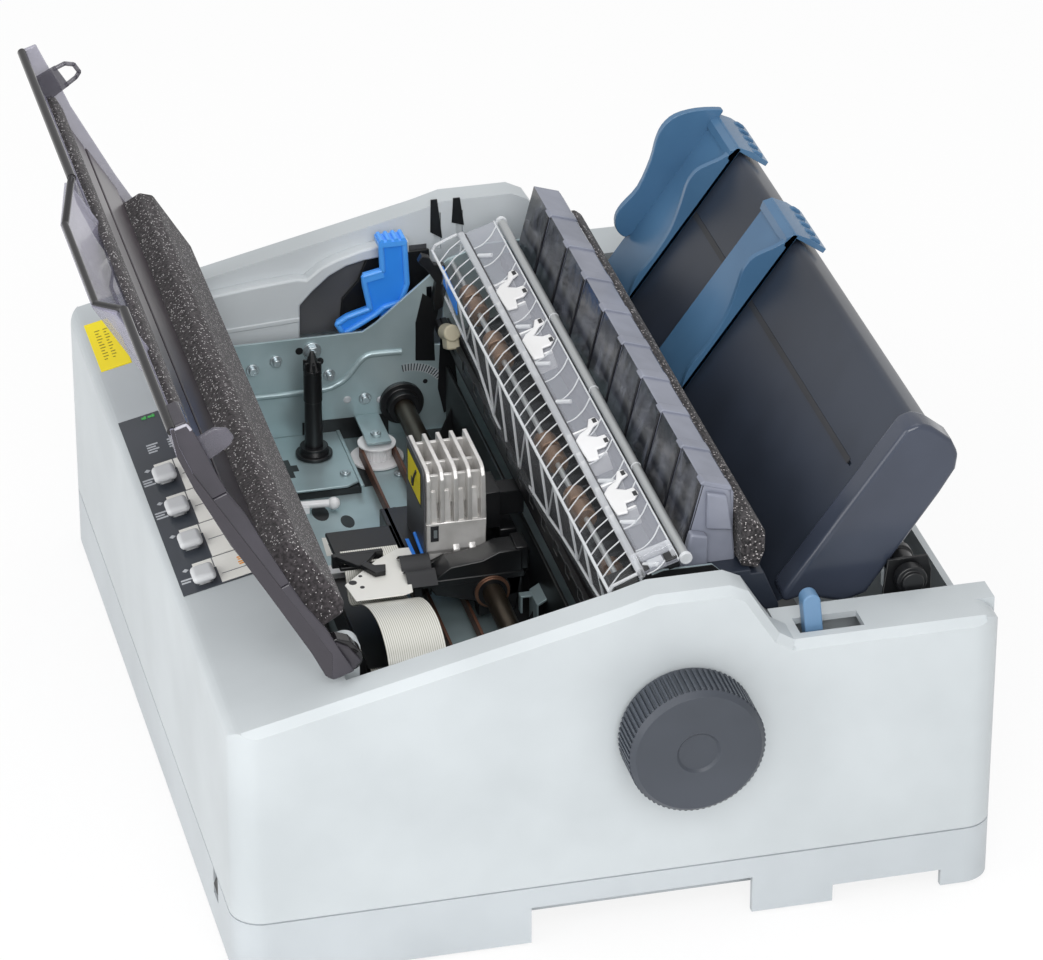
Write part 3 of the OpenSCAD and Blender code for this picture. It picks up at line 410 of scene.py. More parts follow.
COPPER_RING = ground_steel("sintered_copper_bush", "#80604F", 0.34, 0.7)
BROWN_RUBBER = ground_rubber("ground_rubber_brown", "#7A6250", 0.3, 0.3)
PLATEN_RUBBER = moulded_rubber("ground_rubber_black", "#1F1F21", "#2B2B2D", 0.6)
# the pale third colour of each foam is its painted highlight
FOAM = open_foam("open_cell_foam_charcoal", "#272426", "#4C474A", "#C4C1C2", 0.95)
FOAM_COARSE = open_foam("open_cell_foam_coarse", "#121113", "#4C484A", "#B9B4B4", 1.1)
HEAD_CAST = cast_aluminium("die_cast_aluminium", "#D0CECB", "#EAE8E6")
HEAD_LABEL = painted_metal("painted_steel_side", "#45464A", "#515256", 0.45)
OVERLAY = printed_stock("printed_overlay_slate", "#33383F", "#3B4048", 0.3)
OVERLAY_MARK = printed_stock("printed_overlay_mark", "#A9ADB2", "#BFC3C7", 0.4)
LABEL_STOCK = printed_stock("coated_label_white", "#E3E2DC", "#F0EFE9", 0.45)
LABEL_LINE = printed_stock("printed_label_line", "#55585C", "#6A6D71", 0.5)
YELLOW_STOCK = printed_stock("coated_label_yellow", "#FFE400", "#FFEE00", 0.5)
INK_BLUE = printed_stock("printed_ink_blue", "#2F6FA8", "#3C82C0", 0.45)
INK_OLIVE = printed_stock("printed_ink_olive", "#8F8210", "#A39418", 0.6)
INK_ORANGE = printed_stock("printed_ink_orange", "#E0902C", "#F0A53C", 0.45)
GREEN_LENS = moulded_plastic("tinted_lens_green", "#2C9A3E", "#46BE58", 0.25)
CABLE_LINED = lined_film("flexible_cable_lined", "#EFEEE7", "#C2C0B4", 1.0)
CABLE_PLAIN = moulded_plastic("stiffened_cable_end", "#F1F0EA", "#FAF9F5", 0.32)
# black print, and also painted shade: dark decals for holes, slots and a groove
PRINT_BLACK_AND_SHADE = printed_stock("printed_black_and_painted_shade", "#222326", "#303135", 0.5)
# painted shade: a deep grey for the shaded recess behind the left wall and the line along the clear spine
SHADOW_GREY = moulded_plastic("painted_shade_grey", "#3E3F41", "#57585B", 0.5)
MOTOR_BLACK = painted_metal("painted_motor_black", "#2B2C2E", "#3B3C3F", 0.45)
BOARD = printed_stock("solder_mask_green", "#265B3A", "#2F6B45", 0.35)
BELT_RUBBER = moulded_rubber("toothed_belt_rubber", "#3A251D", "#6A4535", 0.5)
FOOT_RUBBER = moulded_rubber("moulded_rubber_foot", "#232426", "#2F3033", 0.7)
GEAR_ACETAL = moulded_plastic("moulded_acetal_gear", "#D9D6CB", "#E8E5DB", 0.35)
BRASS = ground_steel("machined_brass", "#C8B26A", 0.25)

# ---------------------------------------------------------------- helpers for pieces


def finish_mesh(mesh, name, finish, smooth_deg=32):
    """An object for a mesh, with its one material and its shading."""
    mesh.materials.clear()
    mesh.materials.append(finish)
    made = bpy.data.objects.new(name, mesh)
    bpy.context.scene.collection.objects.link(made)
    sharpen(mesh, smooth_deg)
    return made


def sharpen(mesh, degrees):
    """Smooth shading that stays crisp on edges above an angle."""
    work = bmesh.new()
    work.from_mesh(mesh)
    limit = math.radians(degrees)
    for face in work.faces:
        face.smooth = True
    for edge in work.edges:
        edge.smooth = len(edge.link_faces) == 2 and edge.calc_face_angle(0) < limit
    work.to_mesh(mesh)
    work.free()


def soften(made, width, segments):
    """A live bevel, in millimetres, on every edge sharper than 30 degrees."""
    bevel = made.modifiers.new("soft_edges", "BEVEL")
    bevel.width = width * MM
    bevel.segments = segments
    bevel.limit_method = "ANGLE"
    bevel.angle_limit = math.radians(30)


def softened(node, finish, width, segments, body=None):
    """A copy of a CAD node with its doubles merged and its edges rounded, shown in its place."""
    source = frame["nodes"][node]
    work = bmesh.new()
    work.from_mesh(source.data)
    bmesh.ops.remove_doubles(work, verts=work.verts, dist=2e-6)
    flat = math.radians(0.6)
    bmesh.ops.dissolve_limit(
        work, angle_limit=flat, verts=work.verts, edges=work.edges, use_dissolve_boundaries=False
    )
    bmesh.ops.dissolve_degenerate(work, edges=work.edges, dist=1e-6)
    mesh = bpy.data.meshes.new(node + "_shape")
    work.to_mesh(mesh)
    work.free()
    made = finish_mesh(mesh, node + "_shape", finish)
    soften(made, width, segments)
    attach(made, body or source["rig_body"])
    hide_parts(node)
    return made


def dress(node, finish):
    """Gives a CAD node that keeps its own shape a better finish."""
    mesh = frame["nodes"][node].data
    mesh.materials.clear()
    mesh.materials.append(finish)


def place(work, name, finish, body, frame_matrix=None, bevel=0.0, segments=2, smooth_deg=32):
    """Turns a bmesh in printer millimetres into a finished piece that rides on a body, if one is given."""
    if frame_matrix is not None:
        bmesh.ops.transform(work, matrix=frame_matrix, verts=work.verts)
    bmesh.ops.transform(work, matrix=TO_ROW, verts=work.verts)
    bmesh.ops.remove_doubles(work, verts=work.verts, dist=1e-6)
    bmesh.ops.recalc_face_normals(work, faces=work.faces)
    mesh = bpy.data.meshes.new(name)
    work.to_mesh(mesh)
    work.free()
    made = finish_mesh(mesh, name, finish, smooth_deg)
    if bevel > 0:
        soften(made, bevel, segments)
    if body:
        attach(made, body)
    return made


def box(work, low, high):
    """A box between two corners, in millimetres."""
    middle = [(a + b) / 2 for a, b in zip(low, high)]
    size = [b - a for a, b in zip(low, high)]
    matrix = Matrix.Translation(middle) @ Matrix.Diagonal((*size, 1))
    return bmesh.ops.create_cube(work, size=1, matrix=matrix)["verts"]


AXIS_TURN = {
    "X": Matrix.Rotation(math.pi / 2, 4, "Y"),
    "Y": Matrix.Rotation(-math.pi / 2, 4, "X"),
    "Z": Matrix.Identity(4),
}


def rod(work, start, length, radius, axis="X", radius_end=None, sides=32):
    """A cylinder or cone from a start point along an axis."""
    turn = AXIS_TURN[axis]
    middle = Matrix.Translation(start) @ turn @ Matrix.Translation((0, 0, length / 2))
    end = radius if radius_end is None else radius_end
    return bmesh.ops.create_cone(
        work, cap_ends=True, segments=sides, radius1=radius, radius2=end, depth=length, matrix=middle
    )["verts"]


def bar(work, start, end, radius, sides=8):
    """A round bar between two points."""
    a, b = Vector(start), Vector(end)
    turn = (b - a).to_track_quat("Z", "Y").to_matrix().to_4x4()
    matrix = Matrix.Translation((a + b) / 2) @ turn
    length = (b - a).length
    bmesh.ops.create_cone(
        work, cap_ends=True, segments=sides, radius1=radius, radius2=radius, depth=length, matrix=matrix
    )


def bars(work, points, radius, sides=8):
    """Round bars through a run of points, with a ball at each turn."""
    for a, b in zip(points, points[1:]):
        bar(work, a, b, radius, sides)
    for p in points[1:-1]:
        bmesh.ops.create_icosphere(work, subdivisions=1, radius=radius, matrix=Matrix.Translation(p))


TURNED = {
    "X": Matrix.Identity(4),
    "Y": Matrix(((0, 1, 0, 0), (1, 0, 0, 0), (0, 0, 1, 0), (0, 0, 0, 1))),
    "Z": Matrix(((0, 1, 0, 0), (0, 0, 1, 0), (1, 0, 0, 0), (0, 0, 0, 1))),
}


def prism(work, outline, low, high, axis="X"):
    """An outline in the other two directions, in their XYZ order, swept along an axis."""
    verts = [work.verts.new((low, y, z)) for y, z in outline]
    grown = bmesh.ops.extrude_face_region(work, geom=[work.faces.new(verts)])
    moved = [v for v in grown["geom"] if isinstance(v, bmesh.types.BMVert)]
    bmesh.ops.translate(work, verts=moved, vec=(high - low, 0, 0))
    bmesh.ops.transform(work, matrix=TURNED[axis], verts=verts + moved)


def curved(points, steps=6):
    """A smooth run of points through the given ones (a Catmull-Rom curve)."""
    run = [Vector(p) for p in points]
    run = [run[0] * 2 - run[1]] + run + [run[-1] * 2 - run[-2]]
    made = []
    for a, b, c, d in zip(run, run[1:], run[2:], run[3:]):
        for i in range(steps):
            t = i / steps
            square, cube = 2 * a - 5 * b + 4 * c - d, 3 * b - a - 3 * c + d
            made.append(0.5 * (2 * b + (c - a) * t + square * t**2 + cube * t**3))
    made.append(run[-2])
    return made


def strip(work, path, y0, y1, thickness):
    """A thin strip whose edge follows a path in X and Z, reaching from y0 to y1."""
    verts = [work.verts.new((p[0], y0, p[1])) for p in path]
    edges = [work.edges.new(pair) for pair in zip(verts, verts[1:])]
    grown = bmesh.ops.extrude_edge_only(work, edges=edges)["geom"]
    moved = [v for v in grown if isinstance(v, bmesh.types.BMVert)]
    faces = [f for f in grown if isinstance(f, bmesh.types.BMFace)]
    bmesh.ops.translate(work, verts=moved, vec=(0, y1 - y0, 0))
    bmesh.ops.solidify(work, geom=faces, thickness=thickness)


def second_finish(made, finish, wanted):
    """Gives the faces that pass a test, by middle and normal in the row frame, another finish."""
    mesh = made.data
    mesh.materials.append(finish)
    index = len(mesh.materials) - 1
    for face in mesh.polygons:
        if wanted(face.center, face.normal):
            face.material_index = index


def printer_point(point):
    """A row point in printer millimetres."""
    return Vector(((point.x - CASE_MIDDLE) / MM, (point.y - CASE_FRONT) / MM, point.z / MM))


FROM_COVER = IN_COVER.inverted()


def cover_point(point):
    """A row point as across, along and out of the cover, in millimetres."""
    return FROM_COVER @ printer_point(point)


# ---------------------------------------------------------------- case

case = softened("upper_case", CASE_TOP, 1.6, 3)
WALL_INSIDE = -186


def on_inner_wall(middle, normal):
    """The inner face of the left wall, which gets a paler grey as painted light."""
    return printer_point(middle).x < WALL_INSIDE and normal.x > 0.8


second_finish(case, CASE_INNER_PAINTED_LIGHT, on_inner_wall)
dress("lower_case", CASE_BOTTOM)
dress("rubber_feet", FOOT_RUBBER)
softened("control_panel_plate", OVERLAY, 0.15, 1)
softened("indicator_lenses", GREEN_LENS, 0.08, 1)
softened("blank_label", YELLOW_STOCK, 0.05, 1)
softened("power_switch", BLACK_NYLON_AND_SHADE, 0.3, 2)
softened("switch_housing", BLACK_NYLON_AND_SHADE, 0.3, 1)
softened("ac_inlet", BLACK_NYLON_AND_SHADE, 0.5, 2)
softened("interface_connector", SCREW_STEEL, 0.5, 2)

# raised panel and arched rim on the inside of the left wall, in the paler painted-light grey
work = bmesh.new()
WALL_PANEL = [
    (62, 104), (62, 132.4), (69.2, 133.6), (87.9, 135.9), (110.1, 137.7), (114.6, 136.6), (121.9, 142.4),
    (130.3, 146), (141.5, 149.2), (151.3, 151.1), (166, 151.9), (166, 145.2), (151.3, 144.4),
    (142.9, 143.6), (134.5, 141.6), (126.1, 137.3), (117.6, 129.9), (111.2, 123), (110.9, 104),
]
prism(work, WALL_PANEL, -188.6, -181.2)
place(work, "wall_recess_panel", CASE_INNER_PAINTED_LIGHT, "chassis", bevel=1.1, segments=3)
work = bmesh.new()
prism(work, [(64, 112), (110.8, 114.5), (110.8, 117), (64, 114.5)], -182, -180.6)
place(work, "wall_panel_ledge", CASE_INNER_PAINTED_LIGHT, "chassis", bevel=0.5)
# painted shade: a deep grey sheet where the opening below the arch lies in shade
work = bmesh.new()
prism(work, [(111.4, 104), (111.4, 124), (134.5, 142.4), (152, 146), (176, 146), (176, 104)], -188.4, -187.4)
place(work, "wall_recess_painted_shade", SHADOW_GREY, "chassis")
# painted shade: a black block where the opening darkens behind the lever
work = bmesh.new()
prism(work, [(131, 104), (133, 122), (141, 131), (146, 144), (177, 144), (179, 104)], -187.2, -185.6)
place(work, "wall_recess_shade", BLACK_NYLON_AND_SHADE, "chassis", bevel=0.6)

# two black tapered slots beside the left end of the platen, as painted shade inside them
work = bmesh.new()
prism(work, [(178.4, 169.4), (181.6, 169.4), (184, 148), (178, 152)], -188.3, -187.6)
prism(work, [(189.6, 169), (193, 169), (195, 154), (188.8, 156)], -188.3, -187.6)
place(work, "wall_slot_shades", BLACK_NYLON_AND_SHADE, "chassis")

# ---------------------------------------------------------------- control panel

BUTTON_PITCH = 31.1
BUTTON_X = [-17.3 + i * BUTTON_PITCH for i in range(4)]
PANEL_END = 82.6
for n, x in enumerate(BUTTON_X, start=1):
    work = bmesh.new()
    box(work, (x - 5.8, 9.8, 1.9), (x + 5.8, 20.4, 6.1))
    box(work, (x - 3, 12, -5), (x + 3, 18, 3))
    made = place(work, f"button_cap_{n}", BUTTON_ABS, f"button_{n}", ON_DECK, bevel=2.2, segments=5)
    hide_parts(f"button_{n}")

work = bmesh.new()
for x in BUTTON_X:
    # each label steps down towards its button
    end = min(x + 14.6, PANEL_END)
    outline = [(x - 15.5, 12), (x - 15.5, 36.4), (end, 36.4), (end, 21.8), (x - 7.6, 21.8), (x - 7.6, 12)]
    prism(work, outline, 0.5, 0.72, "Z")
made = place(work, "panel_label_stock", LABEL_STOCK, "chassis", ON_DECK)
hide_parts("panel_labels")
work = bmesh.new()
for x in BUTTON_X:
    box(work, (x - 0.4, 23, 0.7), (x + 0.1, 36.4, 0.8))
    box(work, (x - 15.4, 20.8, 0.7), (x - 7.6, 21.3, 0.8))
place(work, "panel_label_lines", LABEL_LINE, "chassis", ON_DECK)
for name, finish, spots in (
    ("panel_marks_blue", INK_BLUE, [(-28, 33), (3.2, 33), (33, 31)]),
    ("panel_marks_orange", INK_ORANGE, [(66.5, 33), (70.5, 33)]),
):
    work = bmesh.new()
    for x, v in spots:
        box(work, (x, v - 1.4, 0.7), (x + 1.1, v + 1.4, 0.8))
        box(work, (x + 1.8, v - 1.2, 0.7), (x + 2.8, v + 1.2, 0.8))
    place(work, name, finish, "chassis", ON_DECK)
work = bmesh.new()
for x in BUTTON_X:
    bmesh.ops.create_cone(
        work, cap_ends=True, segments=4, radius1=1.5, radius2=1.5, depth=0.1,
        matrix=Matrix.Translation((x - 12, 8.4, 0.55)),
    )
for x, v, rows in ((-22, 4.6, 3), (9, 4.6, 3), (-52, 12, 4), (-52, 22, 4), (71, 4.8, 2)):
    for i in range(rows):
        near = x + i * 2.3
        box(work, (near, v, 0.5), (near + 1.2, v + 5.5 - 1.3 * (i % 2), 0.6))
place(work, "panel_marks_pale", OVERLAY_MARK, "chassis", ON_DECK)
work = bmesh.new()
for v in (14.5, 17.5, 25.5, 29.5):
    box(work, (-77.4, v, 0.5), (-75.8, v + 1.8, 0.75))
place(work, "panel_marks_green", GREEN_LENS, "chassis", ON_DECK)
work = bmesh.new()
for i in range(11):
    for row, depth in ((8.4, 2.6), (12.6, 2.2)):
        # every third stroke is shorter, as lettering would be
        x = -172 + i * 2.9
        box(work, (x, row, 0.2), (x + 0.9, row + depth - 0.9 * (i % 3 == 1), 0.27))
place(work, "yellow_label_lines", INK_OLIVE, "chassis", ON_DECK)

# ---------------------------------------------------------------- mechanism base

for node in ("left_side_frame", "idler_bracket"):
    softened(node, ZINC, 0.25, 1)
right_frame = softened("right_side_frame", ZINC, 0.25, 1)


BEHIND_PLATEN = 226


def on_black_flank(middle, normal):
    """The flank towards the case wall, and all that lies behind the platen."""
    return normal.x > 0.9 or printer_point(middle).y > BEHIND_PLATEN


second_finish(right_frame, BLACK_NYLON_AND_SHADE, on_black_flank)

# chassis plate with its raised table at the left, on six legs
TABLE = [(-161.3, 84), (-118, 84), (-110, 87), (-106.5, 93), (-106.5, 118), (-110, 124), (-161.3, 124)]
work = bmesh.new()
box(work, (-FRAME_X, 66, 56), (FRAME_X, 200, PLATE_TOP))
prism(work, TABLE, 61.4, 62.7, "Z")
for x in (-150, 60, 140):
    for y in (66, 198.4):
        box(work, (x - 6, y, 23), (x + 6, y + 1.6, 56))
made = place(work, "chassis_plate", ZINC, "chassis", bevel=0.4)
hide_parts("chassis_base")

# what keeps its CAD shape, rounded or only dressed
for node in ("platen_bearings", "rod_collars", "head_nose"):
    softened(node, BLACK_NYLON_AND_SHADE, 0.4, 2)
dress("carriage_rod", ROD_STEEL)
softened("drive_belt", BELT_RUBBER, 0.15, 1)
dress("carriage_motor", MOTOR_BLACK)
dress("feed_motor", MOTOR_BLACK)
dress("main_board", BOARD)
dress("power_supply", ZINC)
softened("paper_bail_bar", BLACK_NYLON_AND_SHADE, 0.4, 2)
softened("cable_socket", WHITE_NYLON, 0.3, 1)
dress("platen_roller", PLATEN_RUBBER)
softened("platen_shaft", CREAM_ACETAL, 0.3, 1)
softened("platen_knob", KNOB_ABS, 0.12, 1)
dress("platen_gear", GEAR_ACETAL)
dress("feed_idler_gear", GEAR_ACETAL)
dress("feed_pinion", BRASS)
softened("tractor_roller", BLACK_NYLON_AND_SHADE, 0.4, 2)
dress("pinch_rollers", BROWN_RUBBER)
softened("release_lever", PALE_LEVER, 0.9, 3)

# black paper tray under the platen
work = bmesh.new()
box(work, (-157, 164, 57.7), (157, 180, 60))
box(work, (-157, 178, 57.7), (157, 179.6, 94))
for i in range(12):
    x = -146 + i * 26
    prism(work, [(170, 59), (178.4, 59), (178.4, 78)], x, x + 1.4)
place(work, "paper_tray", BLACK_NYLON_AND_SHADE, "chassis", bevel=0.4)

# painted shade: black ellipses in the plate's openings and black blocks in the gaps under the raised table
# and by the left frame; label, pin and screws on the base plate
work = bmesh.new()
for x, y, rx, ry in (
    (-83, 136.5, 6.2, 3.6),
    (-92, 101, 7.6, 4.0),
    (-81, 112, 6.0, 3.2),
    (-60, 122, 3.4, 3.4),
):
    bmesh.ops.create_cone(
        work, cap_ends=True, segments=28, radius1=1, radius2=1, depth=0.12,
        matrix=Matrix.Translation((x, y, 57.66)) @ Matrix.Diagonal((rx, ry, 1, 1)),
    )
box(work, (-161, 84, 57.7), (-106.5, 124.5, 61.3))
box(work, (-161.2, 107, 58), (-160.9, 150, 69.4))
box(work, (-131, 126, 57.62), (-112, 133, 57.75))
place(work, "plate_openings_painted_shade", BLACK_NYLON_AND_SHADE, "chassis")
work = bmesh.new()
bar(work, (-96, 90, 61), (-93.6, 107.6, 61.6), 1.9, 16)
bmesh.ops.create_uvsphere(
    work, u_segments=20, v_segments=12, radius=3.1, matrix=Matrix.Translation((-93.5, 108, 61.4))
)
box(work, (-95.2, 92, 57.6), (-92.8, 96, 61))
place(work, "plate_pin", WHITE_NYLON, "chassis")
work = bmesh.new()
prism(work, [(-68.5, 96.6), (-67, 108.6), (-49.6, 107.2), (-51, 95.4)], 57.62, 57.74, "Z")
place(work, "plate_label", LABEL_STOCK, "chassis")
work = bmesh.new()
for i in range(11):
    y = 98.4 + i * 0.82
    box(work, (-62, y, 57.72), (-53 - (i % 3), y + (0.5 if i % 2 else 0.28), 57.8))
place(work, "plate_label_bars", PRINT_BLACK_AND_SHADE, "chassis")
work = bmesh.new()
for x, y, z in ((-118, 119, 62.7), (-140, 139, 70.2), (-120, 146, 57.6)):
    rod(work, (x, y, z), 1.2, 2.6, "Z", sides=24)
    rod(work, (x, y, z), 1.6, 1.5, "Z", sides=16)
place(work, "plate_screws", SCREW_STEEL, "chassis", bevel=0.25)
# painted shade: a thin black decal for the stepped slot in the table
work = bmesh.new()
STEPPED_SLOT = [
    (-138, 92), (-120, 92), (-120, 95), (-126, 95), (-126, 98), (-132, 98), (-132, 95), (-138, 95),
]
prism(work, STEPPED_SLOT, 62.68, 62.78, "Z")
place(work, "table_slot_painted_shade", BLACK_NYLON_AND_SHADE, "chassis")
work = bmesh.new()
box(work, (-161, 123.6, 62), (-104, 125.4, 63.4))
box(work, (-161, 83, 60.4), (-106, 84.6, 62.8))
place(work, "table_flange", ZINC, "chassis", bevel=0.3)

# left side frame: pressed rib, studs, slot and timing marks
SIDE = -FRAME_X
work = bmesh.new()
rib = [(66, 86.4), (91.2, 86.1), (98.9, 86.1), (118, 86.4), (124.5, 88.4), (129.6, 91.6), (136, 99.4),
       (139.8, 102.2), (144, 102.8), (157.1, 102.4)]
bars(work, curved([(SIDE - 0.2, y, z) for y, z in rib], 4), 1.7, 12)
place(work, "frame_pressed_rib", ZINC, "chassis", smooth_deg=50)
work = bmesh.new()
for y, z, radius, length in (
    (94.7, 104.9, 1.9, 3.4),
    (120.9, 94.3, 1.8, 4.0),
    (83, 101.5, 2.1, 3.0),
    (138.5, 78.9, 1.9, 2.4),
):
    rod(work, (SIDE, y, z), length, radius, sides=20)
    rod(work, (SIDE, y, z), 0.8, radius + 1.2, sides=24)
for length, radius, sides in ((3.4, 3.6, 6), (1.0, 4.6, 28), (5.2, 1.8, 16)):
    rod(work, (SIDE, 112.6, 108.5), length, radius, sides=sides)
for y, z in ((96, 108), (120, 104), (245, 100), (285, 100)):
    rod(work, (FRAME_X - 2.2, y, z), 2.2, 3.2, sides=24)
made = place(work, "frame_studs", SCREW_STEEL, "chassis", bevel=0.3)
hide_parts("frame_screws")


TIMING_Y, TIMING_Z = 161.0, 73.5


def timing_ticks(work, x, count, first_degrees, inner, outer, radius):
    """Radial ticks of the scale round the platen end, by their two radii in millimetres."""
    for i in range(count):
        angle = math.radians(first_degrees - 96 * i / 23)
        along, up = math.cos(angle), math.sin(angle)
        start, end = ((x, TIMING_Y + reach * along, TIMING_Z + reach * up) for reach in (inner, outer))
        bar(work, start, end, radius, 6)


work = bmesh.new()
for y, z in ((129.7, 79.2), (146.3, 77)):
    rod(work, (SIDE, y, z), 0.5, 2.0, sides=20, radius_end=1.3)
timing_ticks(work, SIDE, 24, 98, 17.6, 22, 0.3)
place(work, "frame_timing_marks", OVERLAY_MARK, "chassis")
work = bmesh.new()
timing_ticks(work, SIDE + 0.05, 25, 100, 18, 21.6, 0.26)
place(work, "frame_timing_gaps", PRINT_BLACK_AND_SHADE, "chassis")
# painted shade: black discs and outlines for the holes and openings in the left frame
work = bmesh.new()
for y, z, radius in ((106.3, 109, 1.9), (116.2, 102.2, 2.1), (168.8, 84.5, 1.2)):
    rod(work, (SIDE, y, z), 0.15, radius, sides=24)
SLANTED_OPENING = [(164.2, 117.3), (167.9, 133), (176.2, 125.8), (173.3, 110.8), (173.8, 95.3), (164, 96.6)]
prism(work, SLANTED_OPENING, SIDE, SIDE + 0.2)
prism(work, [(176.5, 108), (182, 112), (186, 70), (178, 66), (175, 80)], SIDE, SIDE + 0.6)
place(work, "frame_openings_painted_shade", BLACK_NYLON_AND_SHADE, "chassis")
work = bmesh.new()
CORNER_GUARD = [
    (165, 152), (167, 155.5), (170.5, 154), (172.6, 150), (178.4, 149), (179.6, 140), (177, 126.4),
    (173, 124.4), (172, 131), (173.6, 140), (169.4, 147),
]
prism(work, CORNER_GUARD, SIDE + 0.3, SIDE + 4.5)
place(work, "frame_corner_guard", BLACK_NYLON_AND_SHADE, "chassis", bevel=0.4)
work = bmesh.new()
verts = box(work, (-5.6, -3, -5), (5.6, 3.4, 5))
verts += rod(work, (-8, 0, 3), 15, 4.2, sides=28)
lean = Matrix.Translation((-136, 175.6, 120)) @ Matrix.Rotation(math.radians(-24), 4, "Y")
bmesh.ops.transform(work, matrix=lean, verts=verts)
place(work, "bail_bar_end", CREAM_ACETAL, "chassis", bevel=0.9, segments=3)

# thickness lever: a webbed moulding with a raised rim and a ridged finger rest
LEVER_RIM = [
    (149.7, 157.5), (161.3, 157), (162.4, 134), (159.5, 124.4), (150.8, 122.4), (146.6, 119.1),
    (130.4, 110.3), (127.4, 116.1), (132.6, 119.3), (143.9, 122.5), (141.3, 136.6), (141.1, 140.4),
    (150.4, 142.3),
]
work = bmesh.new()
prism(work, LEVER_RIM, -176, -171.6)
prism(work, [(149, 75), (163, 75), (160.5, 124), (149.5, 122)], -176, -171.6)
rod(work, (-176, ROD_Y, ROD_Z), 6, 9.5, sides=40)
place(work, "thickness_lever_web", BLUE_HOLLOW, "thickness_lever", bevel=0.4)
work = bmesh.new()
run = [(-171.4, y, z) for y, z in LEVER_RIM]
bars(work, run + run[:2], 1.5, 10)
box(work, (-180, 148.3, 155.6), (-169.8, 162, 158.2))
box(work, (-180, 159.6, 142), (-176, 162, 158))
for i in range(4):
    y = 150 + i * 3.6
    bar(work, (-179.6, y, 158.5), (-170, y, 158.5), 1.2, 12)
prism(work, [(141.6, 137.4), (141.1, 140.6), (150.4, 142.5), (151, 139.4)], -175, -170)
made = place(work, "thickness_lever_rim", BLUE_LEVER, "thickness_lever", smooth_deg=50)
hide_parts("thickness_lever")

# ribbon drive post: flanged foot and a pointed top
work = bmesh.new()
rod(work, (POST_X, POST_Y, 58.4), 5, 3, "Z")
for z, length, radius, radius_end, sides in (
    (63, 1.8, 9, 9, 40),
    (64.8, 2.4, 7.4, 6.4, 40),
    (67.2, 1.2, 6.9, 6.9, 40),
    (66, 27, 4.5, 4.2, 32),
    (93, 17, 4.6, 4.4, 32),
    (110, 9.6, 4.4, 1.0, 6),
):
    rod(work, (POST_X, POST_Y, z), length, radius, "Z", radius_end, sides)
for turn in range(3):
    rotated = Matrix.Translation((POST_X, POST_Y, 112)) @ Matrix.Rotation(math.radians(60 * turn), 4, "Z")
    verts = box(work, (-4.6, -0.6, -4), (4.6, 0.6, 2.4))
    bmesh.ops.transform(work, matrix=rotated, verts=verts)
made = place(work, "ribbon_post_shape", BLACK_NYLON_AND_SHADE, "ribbon_drive", bevel=0.25)
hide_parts("ribbon_drive_post")


def toothed_pulley(name, x, node, skirt):
    """A belt pulley with cut teeth between its flanges."""
    work = bmesh.new()
    teeth = 26
    rod(work, (x, PULLEY_Y, 58), 1.2, skirt, "Z", sides=48)
    rod(work, (x, PULLEY_Y, 59.2), 7.6, 6.4, "Z", sides=40)
    for i in range(teeth):
        turned = Matrix.Translation((x, PULLEY_Y, 0)) @ Matrix.Rotation(math.tau * i / teeth, 4, "Z")
        verts = box(work, (6.1, -0.42, 59.2), (7.2, 0.42, 66))
        bmesh.ops.transform(work, matrix=turned, verts=verts)
    rod(work, (x, PULLEY_Y, 66.2), 0.9, 9.4, "Z", sides=48)
    made = place(work, name, WHITE_NYLON, node, bevel=0.12, segments=1)
    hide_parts(node)


toothed_pulley("idler_pulley_shape", -PULLEY_X, "idler_pulley", 13.2)
toothed_pulley("drive_pulley_shape", PULLEY_X, "drive_pulley", 9.5)

# ---------------------------------------------------------------- carriage and print head

CARRIAGE_LOW, CARRIAGE_HIGH = -44, 28
work = bmesh.new()
rod(work, (CARRIAGE_LOW, ROD_Y, ROD_Z), CARRIAGE_HIGH - CARRIAGE_LOW, 9, sides=48)
box(work, (CARRIAGE_LOW, 121, 80.5), (CARRIAGE_HIGH, 172, 84))
box(work, (CARRIAGE_LOW, 119.5, 73.5), (CARRIAGE_HIGH, 123.8, 84))
box(work, (-28, 90, 82), (6, 122, 84))
box(work, (-16, 127.4, 60), (0, 129.9, 82))
box(work, (-16, 132.1, 60), (0, 134.5, 82))
box(work, (-31, 136, 84), (-27.4, 169, 102))
box(work, (-20, 166, 84), (4, 174, 93))
# sloping wing beside the head's foot
WING = [(126, 82), (137, 90), (152, 91.5), (160, 95), (171, 95), (171, 72), (150, 70), (130, 76)]
prism(work, WING, 14, 27.5)
prism(work, [(127, 84), (137, 88.5), (152, 88.5), (152, 84)], 11.4, 14)
prism(work, [(150, 62), (168, 64), (171, 84), (150, 84)], 20, 27.5)
box(work, (13, 168, 84), (27, 174, 96))
box(work, (16, 172, 88), (24, 175, 92))
made = place(work, "carriage_body", BLACK_NYLON_AND_SHADE, "carriage", bevel=0.6)
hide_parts("carriage")
work = bmesh.new()
for radius, x, length in ((8.3, 27.6, 1.2), (7.4, 28.4, 0.9)):
    rod(work, (x, ROD_Y, ROD_Z), length, radius, sides=48)
place(work, "carriage_bush", COPPER_RING, "carriage", bevel=0.2)
# painted shade: a black disc inside the end of the bush
work = bmesh.new()
rod(work, (29.2, ROD_Y, ROD_Z), 0.4, 6.9, sides=40)
place(work, "carriage_bush_shade", BLACK_NYLON_AND_SHADE, "carriage")
work = bmesh.new()
prism(work, [(173.5, 60), (174.3, 60), (174.3, 74), (179, 77), (178.4, 77.8), (173.5, 74.8)], 30, 45)
prism(work, [(168, 66), (169, 66), (169, 74), (174, 74), (174, 75), (168, 75)], 32, 36)
place(work, "tray_clip", ZINC, "chassis", bevel=0.15)

